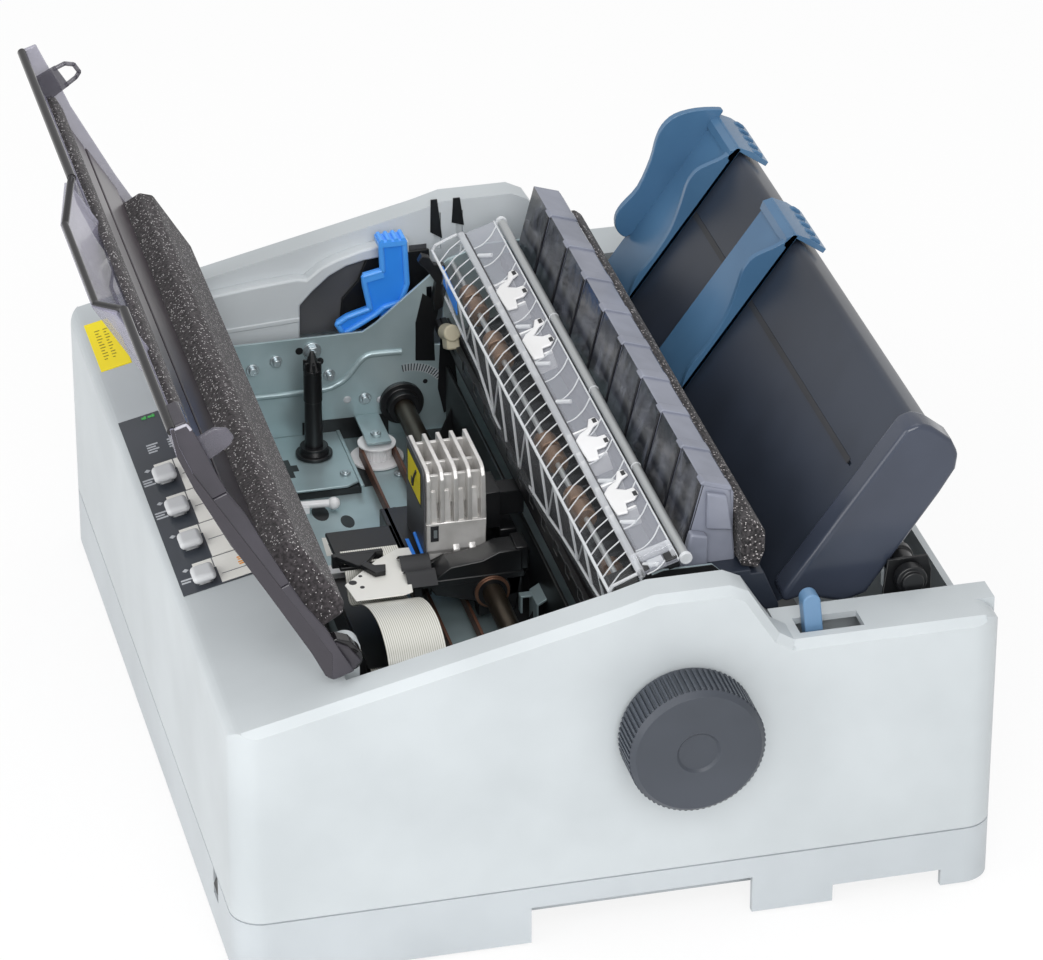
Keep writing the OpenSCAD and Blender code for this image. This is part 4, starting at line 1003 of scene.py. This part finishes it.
HEAD_LOW, HEAD_HIGH = -27, 11
FIN_Y = [130 + i * 6.4 for i in range(5)]
work = bmesh.new()
for y in FIN_Y:
    # each fin runs back over the head and turns down its near face
    outline = [(HEAD_LOW, 92), (HEAD_LOW, 131), (5, 131), (8.6, 130), (HEAD_HIGH, 126.6), (HEAD_HIGH, 104),
               (8, 96), (8, 92)]
    prism(work, outline, y, y + 2.0, "Y")
box(work, (HEAD_LOW + 1, 131, 90), (4.2, 157.4, 116))
prism(work, [(HEAD_LOW, 86), (HEAD_LOW, 104), (HEAD_HIGH, 104), (HEAD_HIGH, 90), (8.4, 86)], 130, 157.6, "Y")
box(work, (HEAD_LOW, 130.5, 116), (HEAD_LOW + 2, 157.4, 127))
box(work, (-9, 130.5, 116), (-7, 157.4, 126.4))
box(work, (4.2, 130.5, 112), (6.2, 157.4, 126.8))
for y in FIN_Y[:-1]:
    # tapered pillars that close each channel near its foot
    prism(work, [(4, 100), (4, 119), (7, 119), (9.8, 106), (9.8, 100)], y + 2.2, y + 5.2, "Y")
for y in (142, 149.6):
    prism(work, [(10, 87.6), (10, 94), (12.4, 90), (12.4, 87.6)], y, y + 3.2, "Y")
made = place(work, "print_head_casting", HEAD_CAST, "carriage", bevel=0.35, segments=2)
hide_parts("print_head")
work = bmesh.new()
box(work, (HEAD_LOW - 0.5, 131, 84), (9.4, 157, 88))
place(work, "print_head_foot", HEAD_CAST, "carriage", bevel=0.5)
work = bmesh.new()
side = [(HEAD_LOW, 84), (HEAD_LOW, 130.4), (5.6, 130.4), (7.6, 128), (9.4, 112), (7.8, 84)]
prism(work, side, 129, 129.9, "Y")
place(work, "print_head_side", HEAD_LABEL, "carriage", bevel=0.2)
work = bmesh.new()
box(work, (11, 131.6, 95), (11.3, 135.4, 103))
box(work, (-23.8, 128.84, 109.2), (3.6, 129, 127.6))
place(work, "print_head_socket", PRINT_BLACK_AND_SHADE, "carriage")
work = bmesh.new()
box(work, (11.1, 133, 97), (11.6, 134.6, 101))
place(work, "print_head_socket_pins", SCREW_STEEL, "carriage")
work = bmesh.new()
box(work, (-22.6, 128.76, 110.4), (2.4, 128.9, 126.4))
place(work, "print_head_label", YELLOW_STOCK, "carriage")
work = bmesh.new()
bar(work, (-10, 128.7, 118), (-5, 128.7, 124), 0.7)
bar(work, (-10, 128.7, 118), (-12, 128.7, 113), 0.7)
box(work, (-16, 128.66, 112.2), (-13, 128.8, 116))
place(work, "print_head_label_mark", PRINT_BLACK_AND_SHADE, "carriage")

# ---------------------------------------------------------------- flat head cable

CABLE_LOW, CABLE_HIGH = 92.4, 119.4
LOOP = [
    (-6, 0, 85.4), (2, 0, 84.6), (6, 0, 79), (10, 0, 71.6), (15, 0, 69.8), (22, 0, 72.6), (33, 0, 79.4),
    (46, 0, 86.6), (60, 0, 91.8), (75, 0, 94.2), (86, 0, 92.6), (94, 0, 88), (98, 0, 80.4), (97, 0, 72),
    (91, 0, 65.4), (80, 0, 61.6), (62, 0, 60.2),
]
path = [(p.x, p.z) for p in curved(LOOP, 6)]
work = bmesh.new()
strip(work, path, CABLE_LOW, CABLE_HIGH, 0.35)
loop = place(work, "head_cable_loop", CABLE_LINED, None, smooth_deg=60)
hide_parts("head_cable")
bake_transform(loop)
path = [(84, 60.4), (60, 59.7), (20, 59.2), (-26, 59)]
work = bmesh.new()
strip(work, path, CABLE_LOW, CABLE_HIGH, 0.35)
made = place(work, "head_cable_run", CABLE_LINED, "chassis", smooth_deg=60)
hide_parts("head_cable")
work = bmesh.new()
box(work, (-30, 80, 57.7), (92, 122, 58.5))
strip(work, [(58, 60.6), (20, 60.1), (-26, 59.8)], CABLE_LOW - 1, CABLE_HIGH, 0.3)
prism(work, [(82, 58), (90, 58), (90, 66), (86, 74), (82, 70)], -6, 60)
place(work, "cable_tray", BLACK_NYLON_AND_SHADE, "chassis", bevel=0.2)
# stiffened end with its two locating holes, held by a clamp lever
work = bmesh.new()
prism(
    work,
    [(25, 88), (6, 107), (-2, 118.6), (-1.6, 125), (17, 127), (26, 118.6), (38, 117), (40, 112), (40, 90)],
    85.6,
    86.2,
    "Z",
)
place(work, "cable_stiffener", CABLE_PLAIN, "carriage", bevel=0.2)
# painted shade: black discs for the holes in the stiffened end
work = bmesh.new()
for x, y, radius in ((24, 92, 1.9), (29, 95.4, 1.1), (19, 96.6, 0.9)):
    rod(work, (x, y, 86.1), 0.25, radius, "Z", sides=20)
place(work, "cable_stiffener_holes_painted_shade", PRINT_BLACK_AND_SHADE, "carriage")
work = bmesh.new()
box(work, (0, 87, 82), (2.6, 111, 88.6))
prism(work, [(2, 88), (12, 96), (13, 99), (9, 103), (2, 108)], 86.3, 88.4, "Z")
prism(work, [(10, 101), (14.6, 104.4), (15, 109.4), (21.4, 108), (22, 103), (13, 98)], 86.4, 88.8, "Z")
made = place(work, "cable_clamp_lever", BLACK_NYLON_AND_SHADE, "carriage", bevel=0.35)
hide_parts("cable_clamp")
work = bmesh.new()
box(work, (-9, 124, 86.1), (12, 125.6, 86.6))
bar(work, (-9, 128.6, 89), (8.6, 128.6, 86.6), 0.9, 8)
place(work, "cable_end_stripe", BLUE_HOLLOW, "carriage")
work = bmesh.new()
film = curved([(8, 0, 86.4), (14, 0, 90.6), (20, 0, 85.8), (26, 0, 89.4), (33, 0, 84.8)], 6)
strip(work, [(p.x, p.z) for p in film], 116, 130, 0.3)
place(work, "cable_backing_film", PRINT_BLACK_AND_SHADE, "carriage", smooth_deg=60)

# ---------------------------------------------------------------- clear paper tension unit

UNIT_LOW, UNIT_HIGH = -166, 170
TUBE_Y, TUBE_Z = 208.2, 165
ROLLER_Y, ROLLER_Z = 183, 147.4
RIB_X = [-162 + i * 10 for i in range(34)]
FORK_X = (-100, -49, 51, 101)
work = bmesh.new()
box(work, (UNIT_LOW, 17, -0.6), (UNIT_HIGH, 33.4, 0.5))
made = place(work, "tension_skin", CLEAR_SKIN, "chassis", ON_UNIT)
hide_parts("tension_unit")
work = bmesh.new()
box(work, (UNIT_LOW, 14, -2), (UNIT_HIGH, 17.4, 2.6))
place(work, "tension_spine", CLEAR_SPINE, "chassis", ON_UNIT, bevel=1.1, segments=3)
# painted shade: a deep grey line along the foot of the clear spine
work = bmesh.new()
bar(work, (UNIT_LOW + 2, 17.7, 0.9), (UNIT_HIGH - 2, 17.7, 0.9), 0.4, 8)
place(work, "tension_spine_shade", SHADOW_GREY, "chassis", ON_UNIT)
work = bmesh.new()
RIB = [(15, 0.6), (9, 2.0), (2, 0.4), (0, -1.5), (0.4, -7), (3, -9), (15, -4)]
for x in RIB_X:
    prism(work, RIB, x - 0.4, x + 0.4)
place(work, "tension_rib_webs", CLEAR_WALL, "chassis", ON_UNIT)
# painted highlight: near-white bars along the tops of the ribs for their bright edges
work = bmesh.new()
for x in RIB_X[1:]:
    bars(work, [(x, 0.2, -1.4), (x - 4, 7.4, 1.1), (x - 8, 14.6, 1.4)], 0.34, 6)
place(work, "tension_rib_glints", CLEAR_GLINT, "chassis", ON_UNIT)
# rails and stiffeners drawn in the near-white painted-highlight plastic
work = bmesh.new()
for x0 in (UNIT_LOW, UNIT_HIGH):
    bars(work, [(x0, 0, -1.6), (x0, 2.4, 0.6), (x0, 14, 1.6)], 0.8, 8)
bar(work, (UNIT_LOW, 0, -1.6), (UNIT_HIGH, 0, -1.6), 0.75, 8)
bar(work, (UNIT_LOW, 33, 0.4), (UNIT_HIGH, 33, 0.4), 0.45, 8)
for i in range(17):
    # fine curved stiffeners fan from the spine to the tube
    x = -160 + i * 20
    sweep = [(x + 12, 18, 0.7), (x + 11.4, 22.6, 0.8), (x + 7, 28, 0.8), (x, 32.6, 0.7)]
    bars(work, curved(sweep, 4), 0.36, 6)
for i in range(9):
    x = -140 + i * 38
    bar(work, (x, 18.4, 0.8), (x + 4.6, 24.4, 0.8), 1.05, 10)
place(work, "tension_edges", CLEAR_GLINT, "chassis", ON_UNIT, smooth_deg=50)

# zig-zag lattice that hangs from the front edge, drawn in near-white clear plastic as painted highlight
TOP_Y, TOP_Z, LOW_Y = 174.2, 153, 178.2
LOW_EDGE = [
    (-166, 132), (-140, 131), (-113, 129.6), (-86, 128), (-57, 119), (-32, 117), (-7, 116), (20, 119),
    (47, 122), (72, 125.6), (100, 128.4), (125, 130), (149, 132.4), (168, 134),
]
work = bmesh.new()
bars(work, [(x, LOW_Y, z) for x, z in LOW_EDGE], 0.7, 8)
for n, (x, z) in enumerate(LOW_EDGE):
    bar(work, (x, TOP_Y, TOP_Z), (x, LOW_Y, z), 0.62, 8)
    if n % 2 == 0:
        # every other bay has a diagonal up to the next bar
        bar(work, (x, LOW_Y, z), (LOW_EDGE[n + 1][0], TOP_Y, TOP_Z), 0.45, 6)
for x, z in (LOW_EDGE[0], LOW_EDGE[-1]):
    bars(work, [(x, LOW_Y, z), (x, 186, 136), (x, 189, 158)], 0.6, 8)
place(work, "tension_lattice", CLEAR_GLINT, "chassis", smooth_deg=50)
work = bmesh.new()
for (x, z), (after, low) in zip(LOW_EDGE, LOW_EDGE[1:]):
    prism(work, [(x, TOP_Z), (after, TOP_Z), (after, low), (x, z)], 176.2, 176.7, "Y")
place(work, "tension_front", CLEAR_WALL, "chassis")

# white two-lobed forks, with small black decals as painted shade in their slots
FORK = [
    (-12.6, 27.2), (-12.4, 30.4), (-5.8, 31.2), (-3.4, 27.6), (4.1, 23.4), (8.9, 27.2), (9.4, 30.6),
    (16.2, 31.4), (21.1, 28.6), (20.8, 24.3), (31, 23.2), (29.4, 18.4), (18.2, 17.9), (4, 17.6),
    (-0.9, 20.4), (-3.5, 24.7),
]
work = bmesh.new()
for x in FORK_X:
    prism(work, [(x + 0.78 * (p - 4), d) for p, d in FORK], 0.7, 2.0, "Z")
    for s in (-9, 8, 16):
        box(work, (x + s, 15, -9), (x + s + 1.4, 28, 0.8))
made = place(work, "fork_plates", WHITE_NYLON, "chassis", ON_UNIT, bevel=0.5, segments=2)
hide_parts("tension_forks")
work = bmesh.new()
for x in FORK_X:
    for s, d in ((-9.6, 29.4), (9.6, 29.8)):
        box(work, (x + s - 1.8, d - 0.9, 1.9), (x + s + 1.8, d + 0.9, 2.25))
place(work, "fork_slots_painted_shade", PRINT_BLACK_AND_SHADE, "chassis", ON_UNIT)

# idle rollers seen through the front ribs
work = bmesh.new()
for x in (-117, -68, 34, 85):
    for s in (-6.5, 6.5):
        rod(work, (x + s - 5.2, ROLLER_Y, ROLLER_Z), 10.4, 5.0, sides=40)
place(work, "tension_rollers", BROWN_RUBBER, "chassis", bevel=0.6, segments=2)
work = bmesh.new()
rod(work, (UNIT_LOW + 2, ROLLER_Y, ROLLER_Z), UNIT_HIGH - UNIT_LOW - 4, 1.3, sides=16)
place(work, "tension_roller_axle", TUBE_STEEL, "chassis")
work = bmesh.new()
rod(work, (UNIT_LOW + 1, TUBE_Y, TUBE_Z), UNIT_HIGH - UNIT_LOW - 2, 2.1, sides=40)
made = place(work, "tension_tube_shape", TUBE_STEEL, "chassis", bevel=0.5)
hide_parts("tension_tube")
# collars drawn in the near-white painted-highlight plastic
work = bmesh.new()
for x in (-166, 168):
    rod(work, (x, TUBE_Y, TUBE_Z), 2.4, 2.8, sides=32)
for x in (-62, 12, 86):
    rod(work, (x, TUBE_Y, TUBE_Z), 0.8, 2.4, sides=32)
place(work, "tube_collars", CLEAR_GLINT, "chassis", bevel=0.4)

# near-end latch of the unit
work = bmesh.new()
bar(work, (159, 15, 1.8), (159, 33, 1.8), 2.5, 20)
box(work, (154, 14, -1), (168, 16.4, 1.8))
box(work, (154, 31, -1), (168, 33.4, 1.8))
box(work, (164, 20, 0.4), (168.6, 27, 2.4))
place(work, "unit_latch", CLEAR_SPINE, "chassis", ON_UNIT, bevel=0.5)
work = bmesh.new()
box(work, (161, 3, -5), (169.6, 14, -2))
box(work, (162.4, 16, -4), (168.8, 20, 1.2))
box(work, (162.4, 27.6, -4), (168.8, 33, 1.4))
box(work, (150, -1, -9), (169, 14, -6))
place(work, "unit_latch_block", BLACK_NYLON_AND_SHADE, "chassis", ON_UNIT, bevel=0.5)
work = bmesh.new()
prism(work, [(-150, 152.4), (-122, 151.2), (-120, 141), (-148, 143.6)], 175.2, 175.6, "Y")
place(work, "unit_blue_mark", BLUE_HOLLOW, "chassis")

# ---------------------------------------------------------------- smoked separator

separator = softened("separator_bar", BAR_CAP, 0.9, 3)


def faces_front(middle, normal):
    """The face towards the print line, where the moulding's flow marks show."""
    return normal.y < -0.5


second_finish(separator, BAR_FRONT, faces_front)
work = bmesh.new()
rims = bmesh.new()
for i in range(9):
    x = -150 + i * 33.4
    # each segment's cap laps over the next one
    prism(
        work,
        [(219.4, 189.3), (221, 190.9), (233.2, 186.9), (234, 185.2), (232.6, 184.6), (221, 188.4)],
        x + 26,
        x + 33.6,
    )
    prism(work, [(232.8, 186.4), (235.4, 182), (235.4, 152), (234, 152), (233.6, 182)], x + 2, x + 31)
    prism(rims, [(210, 150.6), (219.4, 189), (220.4, 188.6), (211.4, 150.6)], x + 30.6, x + 32.6)
place(work, "separator_caps", BAR_CAP, "chassis", bevel=0.5, segments=3)
place(rims, "separator_ribs", BAR_RIB, "chassis", bevel=0.4)
work = bmesh.new()
prism(work, [(209.8, 150.4), (214.4, 168), (222, 166), (222, 150.4)], 150.6, 156)
prism(work, [(222, 186), (231, 183.4), (234, 166), (222, 168)], 150, 153.4)
place(work, "separator_end", BAR_CAP, "chassis", bevel=1.0, segments=3)

# ---------------------------------------------------------------- sheet guide

softened("rear_guide_frame", GUIDE_ABS, 0.5, 2)
softened("sheet_guide", GUIDE_ABS, 1.6, 3)
work = bmesh.new()
GUIDE_CHEEK = [
    (5, 1.6), (98, 1.6), (102.6, -2), (104, -8), (103.4, -20), (99.6, -27), (93, -30.6), (80, -31.6),
    (24, -32.6), (15, -26), (9, -8), (2, -2),
]
prism(work, GUIDE_CHEEK, 145, 159.8)
place(work, "sheet_guide_end", GUIDE_END, "chassis", ON_SHEET, bevel=3.6, segments=5)
# painted shade: a black strip for the groove across the sheet guide
work = bmesh.new()
prism(work, [(64.2, -0.4), (67, -0.4), (67, 0.3), (64.2, 0.3)], -150, 134)
place(work, "sheet_guide_groove_painted_shade", PRINT_BLACK_AND_SHADE, "chassis", ON_SHEET)

FENCE = [
    (9, 0.4), (12.3, 1.6), (23.7, 5), (35.9, 4.2), (52.5, 5.2), (65.3, 8.7), (75, 12.2), (80, 13),
    (85.5, 12.2), (93.8, 6.8), (99.5, 3.6),
]
EAR = [
    (107.5, 1), (107.9, 2.8), (101.7, 12.8), (93.9, 20.3), (86, 22.4), (78.2, 20.8), (68.6, 16.9),
    (53.7, 13.6), (42, 15), (35.5, 14.2), (30.6, 10.4), (29, 5), (31, 2.4), (36, 1), (54, 0.8),
    (76, 0.8), (97, 0.8),
]
GUIDE_CAP = [
    (96, 0.4), (97, 3.4), (101, 4.6), (104.6, 1.6), (106, -6), (105.6, -15.6), (103.2, -15.6), (102.9, 0.4),
]
GUIDE_WIDTH = 40


def smooth_outline(points, steps):
    """A curved outline through two-way points."""
    return [(p.x, p.y) for p in curved([(a, b, 0) for a, b in points], steps)]


def edge_guide(name, node, near_x, ear):
    """A paper edge guide: broad cap, flat band and a fence along its near side."""
    work = bmesh.new()
    far_x = near_x - GUIDE_WIDTH
    prism(work, smooth_outline(FENCE, 4) + [(104, 2.6), (104, 0.4)], near_x - 3, near_x)
    box(work, (far_x, 3, 0.35), (near_x, 104.2, 2.2))
    for i in range(6):
        # the band swells towards the fence
        swell = [(14, 0.4), (22, 3.6 - i * 0.5), (60, 3.4 - i * 0.4), (98, 4.4 - i * 0.5), (103, 0.4)]
        prism(work, swell, near_x - 4 - i * 1.3, near_x - 2.6 - i * 1.3)
    prism(work, GUIDE_CAP, far_x, near_x)
    made = place(work, name, BLUE_GUIDE, node, ON_SHEET, bevel=0.8, segments=3)
    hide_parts(node)
    work = bmesh.new()
    for i in range(5):
        x = far_x + 3 + i * 8
        prism(work, [(104.6, -14), (107, -12), (107.2, -8), (105.2, -5)], x + 0.6, x + 3)
    place(work, name + "_teeth", BLUE_GUIDE, node, ON_SHEET, bevel=0.7, segments=2)
    if ear:
        work = bmesh.new()
        prism(work, smooth_outline(EAR, 3), far_x, far_x + 3.6)
        place(work, name + "_wing", BLUE_GUIDE, node, ON_SHEET, bevel=1.0, segments=3)


edge_guide("edge_guide_far", "edge_guide_left", -117, True)
edge_guide("edge_guide_near", "edge_guide_right", -22, False)

# ---------------------------------------------------------------- cover

COVER_HALF = 192
SKIN = [
    (0, 10), (3, 11.6), (16, 10.4), (51, 9.6), (82, 9.2), (114, 7.2), (131.6, 4.6), (144, 0), (143.4, -1.6),
    (141, -0.8), (135, 1.3), (121, 3.5), (10, 3.5), (3.5, 7.6),
]
SKIN_CUT = [(0, 10), (3, 11.6), (16, 10.4), (51, 9.6), (82, 9.2), (104, 8), (104, 3.5), (10, 3.5), (3.5, 7.6)]
BULGE = [(-52, 3.6), (-19, 12.5), (62, 12.5), (80, 3.6), (77, 1.4), (61, 10.2), (-18.4, 10.2), (-49, 1.4)]

work = bmesh.new()
prism(work, SKIN, -COVER_HALF, -50)
prism(work, SKIN, 78, COVER_HALF)
prism(work, SKIN_CUT, -50, 78)
skin = place(work, "cover_skin", COVER_TINT, "cover", IN_COVER, bevel=0.4, segments=2)


def on_web(middle, normal):
    """The inner face between the hinge and the foam strip."""
    spot = cover_point(middle)
    return 6 < spot.y < 92 and spot.z < 4.6


def on_outside(middle, normal):
    """The outer face, up to the glossy lip."""
    spot = cover_point(middle)
    return spot.z > 4.8 and spot.y < 133


second_finish(skin, COVER_WEB, on_web)
second_finish(skin, COVER_SHELL, on_outside)

# raised bay over the ribbon, closed along its hinge side
work = bmesh.new()
prism(work, BULGE, 103, 143, "Y")
prism(work, [(-50, 2), (-19, 12), (62, 12), (78, 2)], 102, 104, "Y")
bay = place(work, "cover_bay", COVER_TINT, "cover", IN_COVER, bevel=0.5, segments=2)

# hinge barrels at both ends, and the thin wall that closes the far end
work = bmesh.new()
for x in (-COVER_HALF + 2.4, COVER_HALF - 10):
    prism(work, [(-2, 9), (2, 10), (13, 6.2), (13, 1), (6, -3), (-3, -4), (-5, 1)], x, x + 6)
hinge = place(work, "cover_hinge_ends", COVER_SHELL, "cover", IN_COVER, bevel=0.8, segments=3)
work = bmesh.new()
FAR_END = [
    (143.8, 0.4), (142, -7.8), (131, -6.4), (118, -5.4), (105, -3.4), (62, -0.8), (48, -0.6), (20, -4.3),
    (8, -3.4), (6, 3), (12, 5.6), (121, 5), (136, 3),
]
prism(work, FAR_END, -COVER_HALF, -COVER_HALF + 2)
far_end = place(work, "cover_far_end", COVER_TINT, "cover", IN_COVER, bevel=0.7, segments=3)
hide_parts("printer_cover")
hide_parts("printer_cover")
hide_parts("printer_cover")
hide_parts("printer_cover")

# far latch: a short plate with a wire-thin loop at its end
work = bmesh.new()
loop = [(129.4, -8), (128.6, -14), (125.6, -17.2), (120.8, -17.2), (119.4, -14.4), (118.9, -8)]
bars(work, [(-COVER_HALF + 7.7, a, b) for a, b in loop], 1.08, 12)
prism(work, [(117.6, 3), (131, 3), (130.2, -9.6), (118.2, -9.6)], -COVER_HALF + 6.8, -COVER_HALF + 8.6)
place(work, "cover_far_latch", COVER_LATCH, "cover", IN_COVER, smooth_deg=60)

# glossy lip round the free edge
work = bmesh.new()
for low, high in ((-COVER_HALF + 1, -52), (80, COVER_HALF - 1)):
    bar(work, (low, 142.5, -0.2), (high, 142.5, -0.2), 2.1, 14)
over_bay = [
    (-52, 142.8, -0.4), (-48, 142.4, 1.4), (-18.4, 142.2, 10.4), (61, 142.2, 10.4), (77, 142.4, 1.4),
    (80, 142.8, -0.4),
]
bars(work, over_bay, 1.7, 12)
place(work, "cover_lip", COVER_RIM, "cover", IN_COVER, smooth_deg=60)

# bands and rails on the inner face
work = bmesh.new()
box(work, (-184, 59, 1.8), (186, 86, 3.45))
box(work, (-184, 87.6, 2.2), (186, 103, 3.45))
place(work, "cover_inner_bands", COVER_WEB, "cover", IN_COVER, bevel=0.5)
work = bmesh.new()
for low, high in ((-184, -50), (78, 188)):
    bar(work, (low, 104.9, 2.6), (high, 104.9, 2.6), 1.0, 10)
    bar(work, (low, 121, 2.9), (high, 121, 2.9), 0.6, 10)
bar(work, (-50, 101.4, 2.6), (78, 101.4, 2.6), 1.0, 10)
place(work, "cover_inner_rails", COVER_TINT, "cover", IN_COVER, smooth_deg=60)

# stepped near end wall, a painted highlight along its corner, and the latch tab
work = bmesh.new()
HINGE_STEP = [
    (-1, 10), (1.7, 11.4), (16.2, 10.4), (52, 9.4), (51, -0.3), (38, 0.2), (22, -0.9), (7.6, 0.2),
    (-3, 0.4), (-1.8, 7.1),
]
MIDDLE_STEP = [(52, 9.2), (81.6, 9.6), (105.6, 7.8), (104.2, -3), (89.3, -3.4), (69.3, -1.6), (51, -0.5)]
EDGE_STEP = [
    (105.6, 7.6), (114, 7.2), (131.6, 4.5), (143.4, 0), (143, -1.6), (141.8, -7.8), (137.4, -7.2),
    (128.5, -6.2), (112.8, -3.9), (104.2, -3.2),
]
prism(work, HINGE_STEP, 189.3, 191.9)
prism(work, MIDDLE_STEP, 189.3, 191.6)
prism(work, EDGE_STEP, 189.6, 191.3)
place(work, "cover_end_wall", COVER_END, "cover", IN_COVER, bevel=0.8, segments=3)
work = bmesh.new()
prism(work, [(143.6, 0.5), (143, -2), (141.8, -6.9), (137.6, -6.9), (134, 2)], 170, 189)
place(work, "cover_corner_block", COVER_END, "cover", IN_COVER, bevel=1.0, segments=3)
work = bmesh.new()
bars(work, [(190.8, 142.4, -1.4), (190.8, 141.2, -6.6), (190.8, 138, -6.6)], 0.7, 10)
place(work, "cover_corner_painted_highlight", COVER_HIGHLIGHT, "cover", IN_COVER, smooth_deg=60)
work = bmesh.new()
NEAR_LATCH = [(130.4, 2.6), (129.4, -14), (125.8, -18.4), (120.2, -18.4), (118.2, -15), (117.4, 2.6)]
prism(work, NEAR_LATCH, 183.3, 185.3)
place(work, "cover_latch_box", COVER_LATCH, "cover", IN_COVER, bevel=1.4, segments=4)

# hooked knuckles at both ends of the hinge
work = bmesh.new()
for x in (-186.2, 179.4):
    rod(work, (x, 0, 0), 6.8, 6, sides=40)
    prism(work, [(0, -5.6), (7, -5), (12, -1), (13, 4), (8, 6), (0, 5.8)], x, x + 6.8)
    prism(work, [(-5.6, 0), (-5.2, 3.8), (-1.4, 7.4), (6, 8), (6, 5.6), (0, 4)], x + 1, x + 5.6)
place(work, "cover_knuckles", COVER_RIM, "cover", IN_COVER, bevel=0.5, segments=3)

# foam: the deep block along the hinge, the thin strip along the free edge and the separator's strip
work = bmesh.new()
FOAM_BLOCK = [(13, 3.4), (57, 3.4), (57, -7), (52, -11.4), (17, -11.4), (13, -8)]
prism(work, FOAM_BLOCK, -COVER_HALF + 20, COVER_HALF - 18)
block = place(work, "cover_foam_block_shape", FOAM, "cover", IN_COVER, bevel=1.2, segments=3)
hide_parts("cover_foam_block")
work = bmesh.new()
FOAM_STRIP = [(106.4, 3.4), (118.8, 3.4), (118.6, 0.6), (116, -0.6), (108.4, -0.2)]
prism(work, FOAM_STRIP, -COVER_HALF + 6, COVER_HALF - 6)
strip_piece = place(work, "cover_foam_strip_shape", FOAM, "cover", IN_COVER, bevel=0.6, segments=2)
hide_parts("cover_foam_strip")
work = bmesh.new()
REAR_FOAM = [
    (236.2, 150), (240, 150), (240, 148), (243, 148), (246.5, 156), (246.5, 168), (243, 171), (236.2, 171),
]
prism(work, REAR_FOAM, -158, 150)
prism(work, [(236.2, 151), (244, 149), (247, 157), (247, 167), (243, 172), (236.2, 174)], 148, 159)
rear = place(work, "separator_foam_shape", FOAM_COARSE, "chassis", bevel=1.0, segments=2)
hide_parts("separator_foam")

# ---------------------------------------------------------------- floor, light and camera


def floor_and_backdrop():
    """A white floor that glows to the camera, so that only soft shadows show, and a white sky."""
    work = bmesh.new()
    bmesh.ops.create_grid(work, x_segments=1, y_segments=1, size=9.0)
    mesh = bpy.data.meshes.new("studio_floor")
    work.to_mesh(mesh)
    work.free()
    made = bpy.data.objects.new("studio_floor", mesh)
    bpy.context.scene.collection.objects.link(made)
    material = bpy.data.materials.new("white_sweep")
    material.use_nodes = True
    tree = material.node_tree
    tree.nodes.clear()
    path = add(tree, "ShaderNodeLightPath")
    matt = add(tree, "ShaderNodeBsdfDiffuse", {"Color": srgb("#F2F2F2")})
    glow = add(tree, "ShaderNodeEmission", {"Color": srgb("#FFFFFF"), "Strength": 1.0})
    seen = add(
        tree,
        "ShaderNodeMath",
        {"operation": "MAXIMUM"},
        {0: path.outputs["Is Camera Ray"], 1: path.outputs["Is Glossy Ray"]},
    )
    also = add(
        tree,
        "ShaderNodeMath",
        {"operation": "MAXIMUM"},
        {0: seen.outputs[0], 1: path.outputs["Is Transmission Ray"]},
    )
    glow_share = 0.86
    share = add(tree, "ShaderNodeMath", {"operation": "MULTIPLY", 1: glow_share}, {0: also.outputs[0]})
    both = add(
        tree,
        "ShaderNodeMixShader",
        None,
        {"Fac": share.outputs[0], 1: matt.outputs[0], 2: glow.outputs[0]},
    )
    output = add(tree, "ShaderNodeOutputMaterial")
    tree.links.new(both.outputs[0], output.inputs["Surface"])
    mesh.materials.append(material)

    world = bpy.data.worlds.new("studio_world")
    bpy.context.scene.world = world
    world.use_nodes = True
    tree = world.node_tree
    tree.nodes.clear()
    path = add(tree, "ShaderNodeLightPath")
    strength = add(
        tree,
        "ShaderNodeMapRange",
        {"To Min": 0.68, "To Max": 1.0},
        {"Value": path.outputs["Is Camera Ray"]},
    )
    sky = add(
        tree,
        "ShaderNodeBackground",
        {"Color": srgb("#FFFFFF")},
        {"Strength": strength.outputs["Result"]},
    )
    output = add(tree, "ShaderNodeOutputWorld")
    tree.links.new(sky.outputs[0], output.inputs["Surface"])


def lamp(name, where, aim, size, watts):
    """A square softbox at a printer point, turned to another; its size is in metres."""
    data = bpy.data.lights.new(name, "AREA")
    data.shape = "SQUARE"
    data.size = size
    data.energy = watts
    made = bpy.data.objects.new(name, data)
    bpy.context.scene.collection.objects.link(made)
    made.location = at(*where)
    made.rotation_euler = (at(*aim) - at(*where)).to_track_quat("-Z", "Y").to_euler()


floor_and_backdrop()
lamp("key_softbox", (1500, -50, 1050), (0, 150, 80), 1.0, 17)
lamp("fill_softbox", (500, -1500, 900), (0, 100, 80), 1.4, 15)
lamp("top_softbox", (-300, 600, 1600), (0, 150, 80), 1.2, 4)

CAMERA_SPOT = (2054.28, -332.58, 1299.89)
CAMERA_PITCH = math.radians(29.23)
CAMERA_HEADING = math.radians(13.94)
FOCAL_PX, FRAME_PX = 5259.8, 1043
SENSOR_MM = 36

camera_data = bpy.data.cameras.new("studio_camera")
camera_data.sensor_fit = "HORIZONTAL"
camera_data.sensor_width = SENSOR_MM
camera_data.lens = FOCAL_PX / FRAME_PX * SENSOR_MM
camera_data.clip_end = 50
camera = bpy.data.objects.new("studio_camera", camera_data)
bpy.context.scene.collection.objects.link(camera)
camera.location = at(*CAMERA_SPOT)
sight = Vector(
    (
        -math.cos(CAMERA_PITCH) * math.cos(CAMERA_HEADING),
        math.cos(CAMERA_PITCH) * math.sin(CAMERA_HEADING),
        -math.sin(CAMERA_PITCH),
    )
)
camera.rotation_euler = sight.to_track_quat("-Z", "Y").to_euler()
bpy.context.scene.camera = camera
bpy.context.scene.view_settings.view_transform = "Standard"
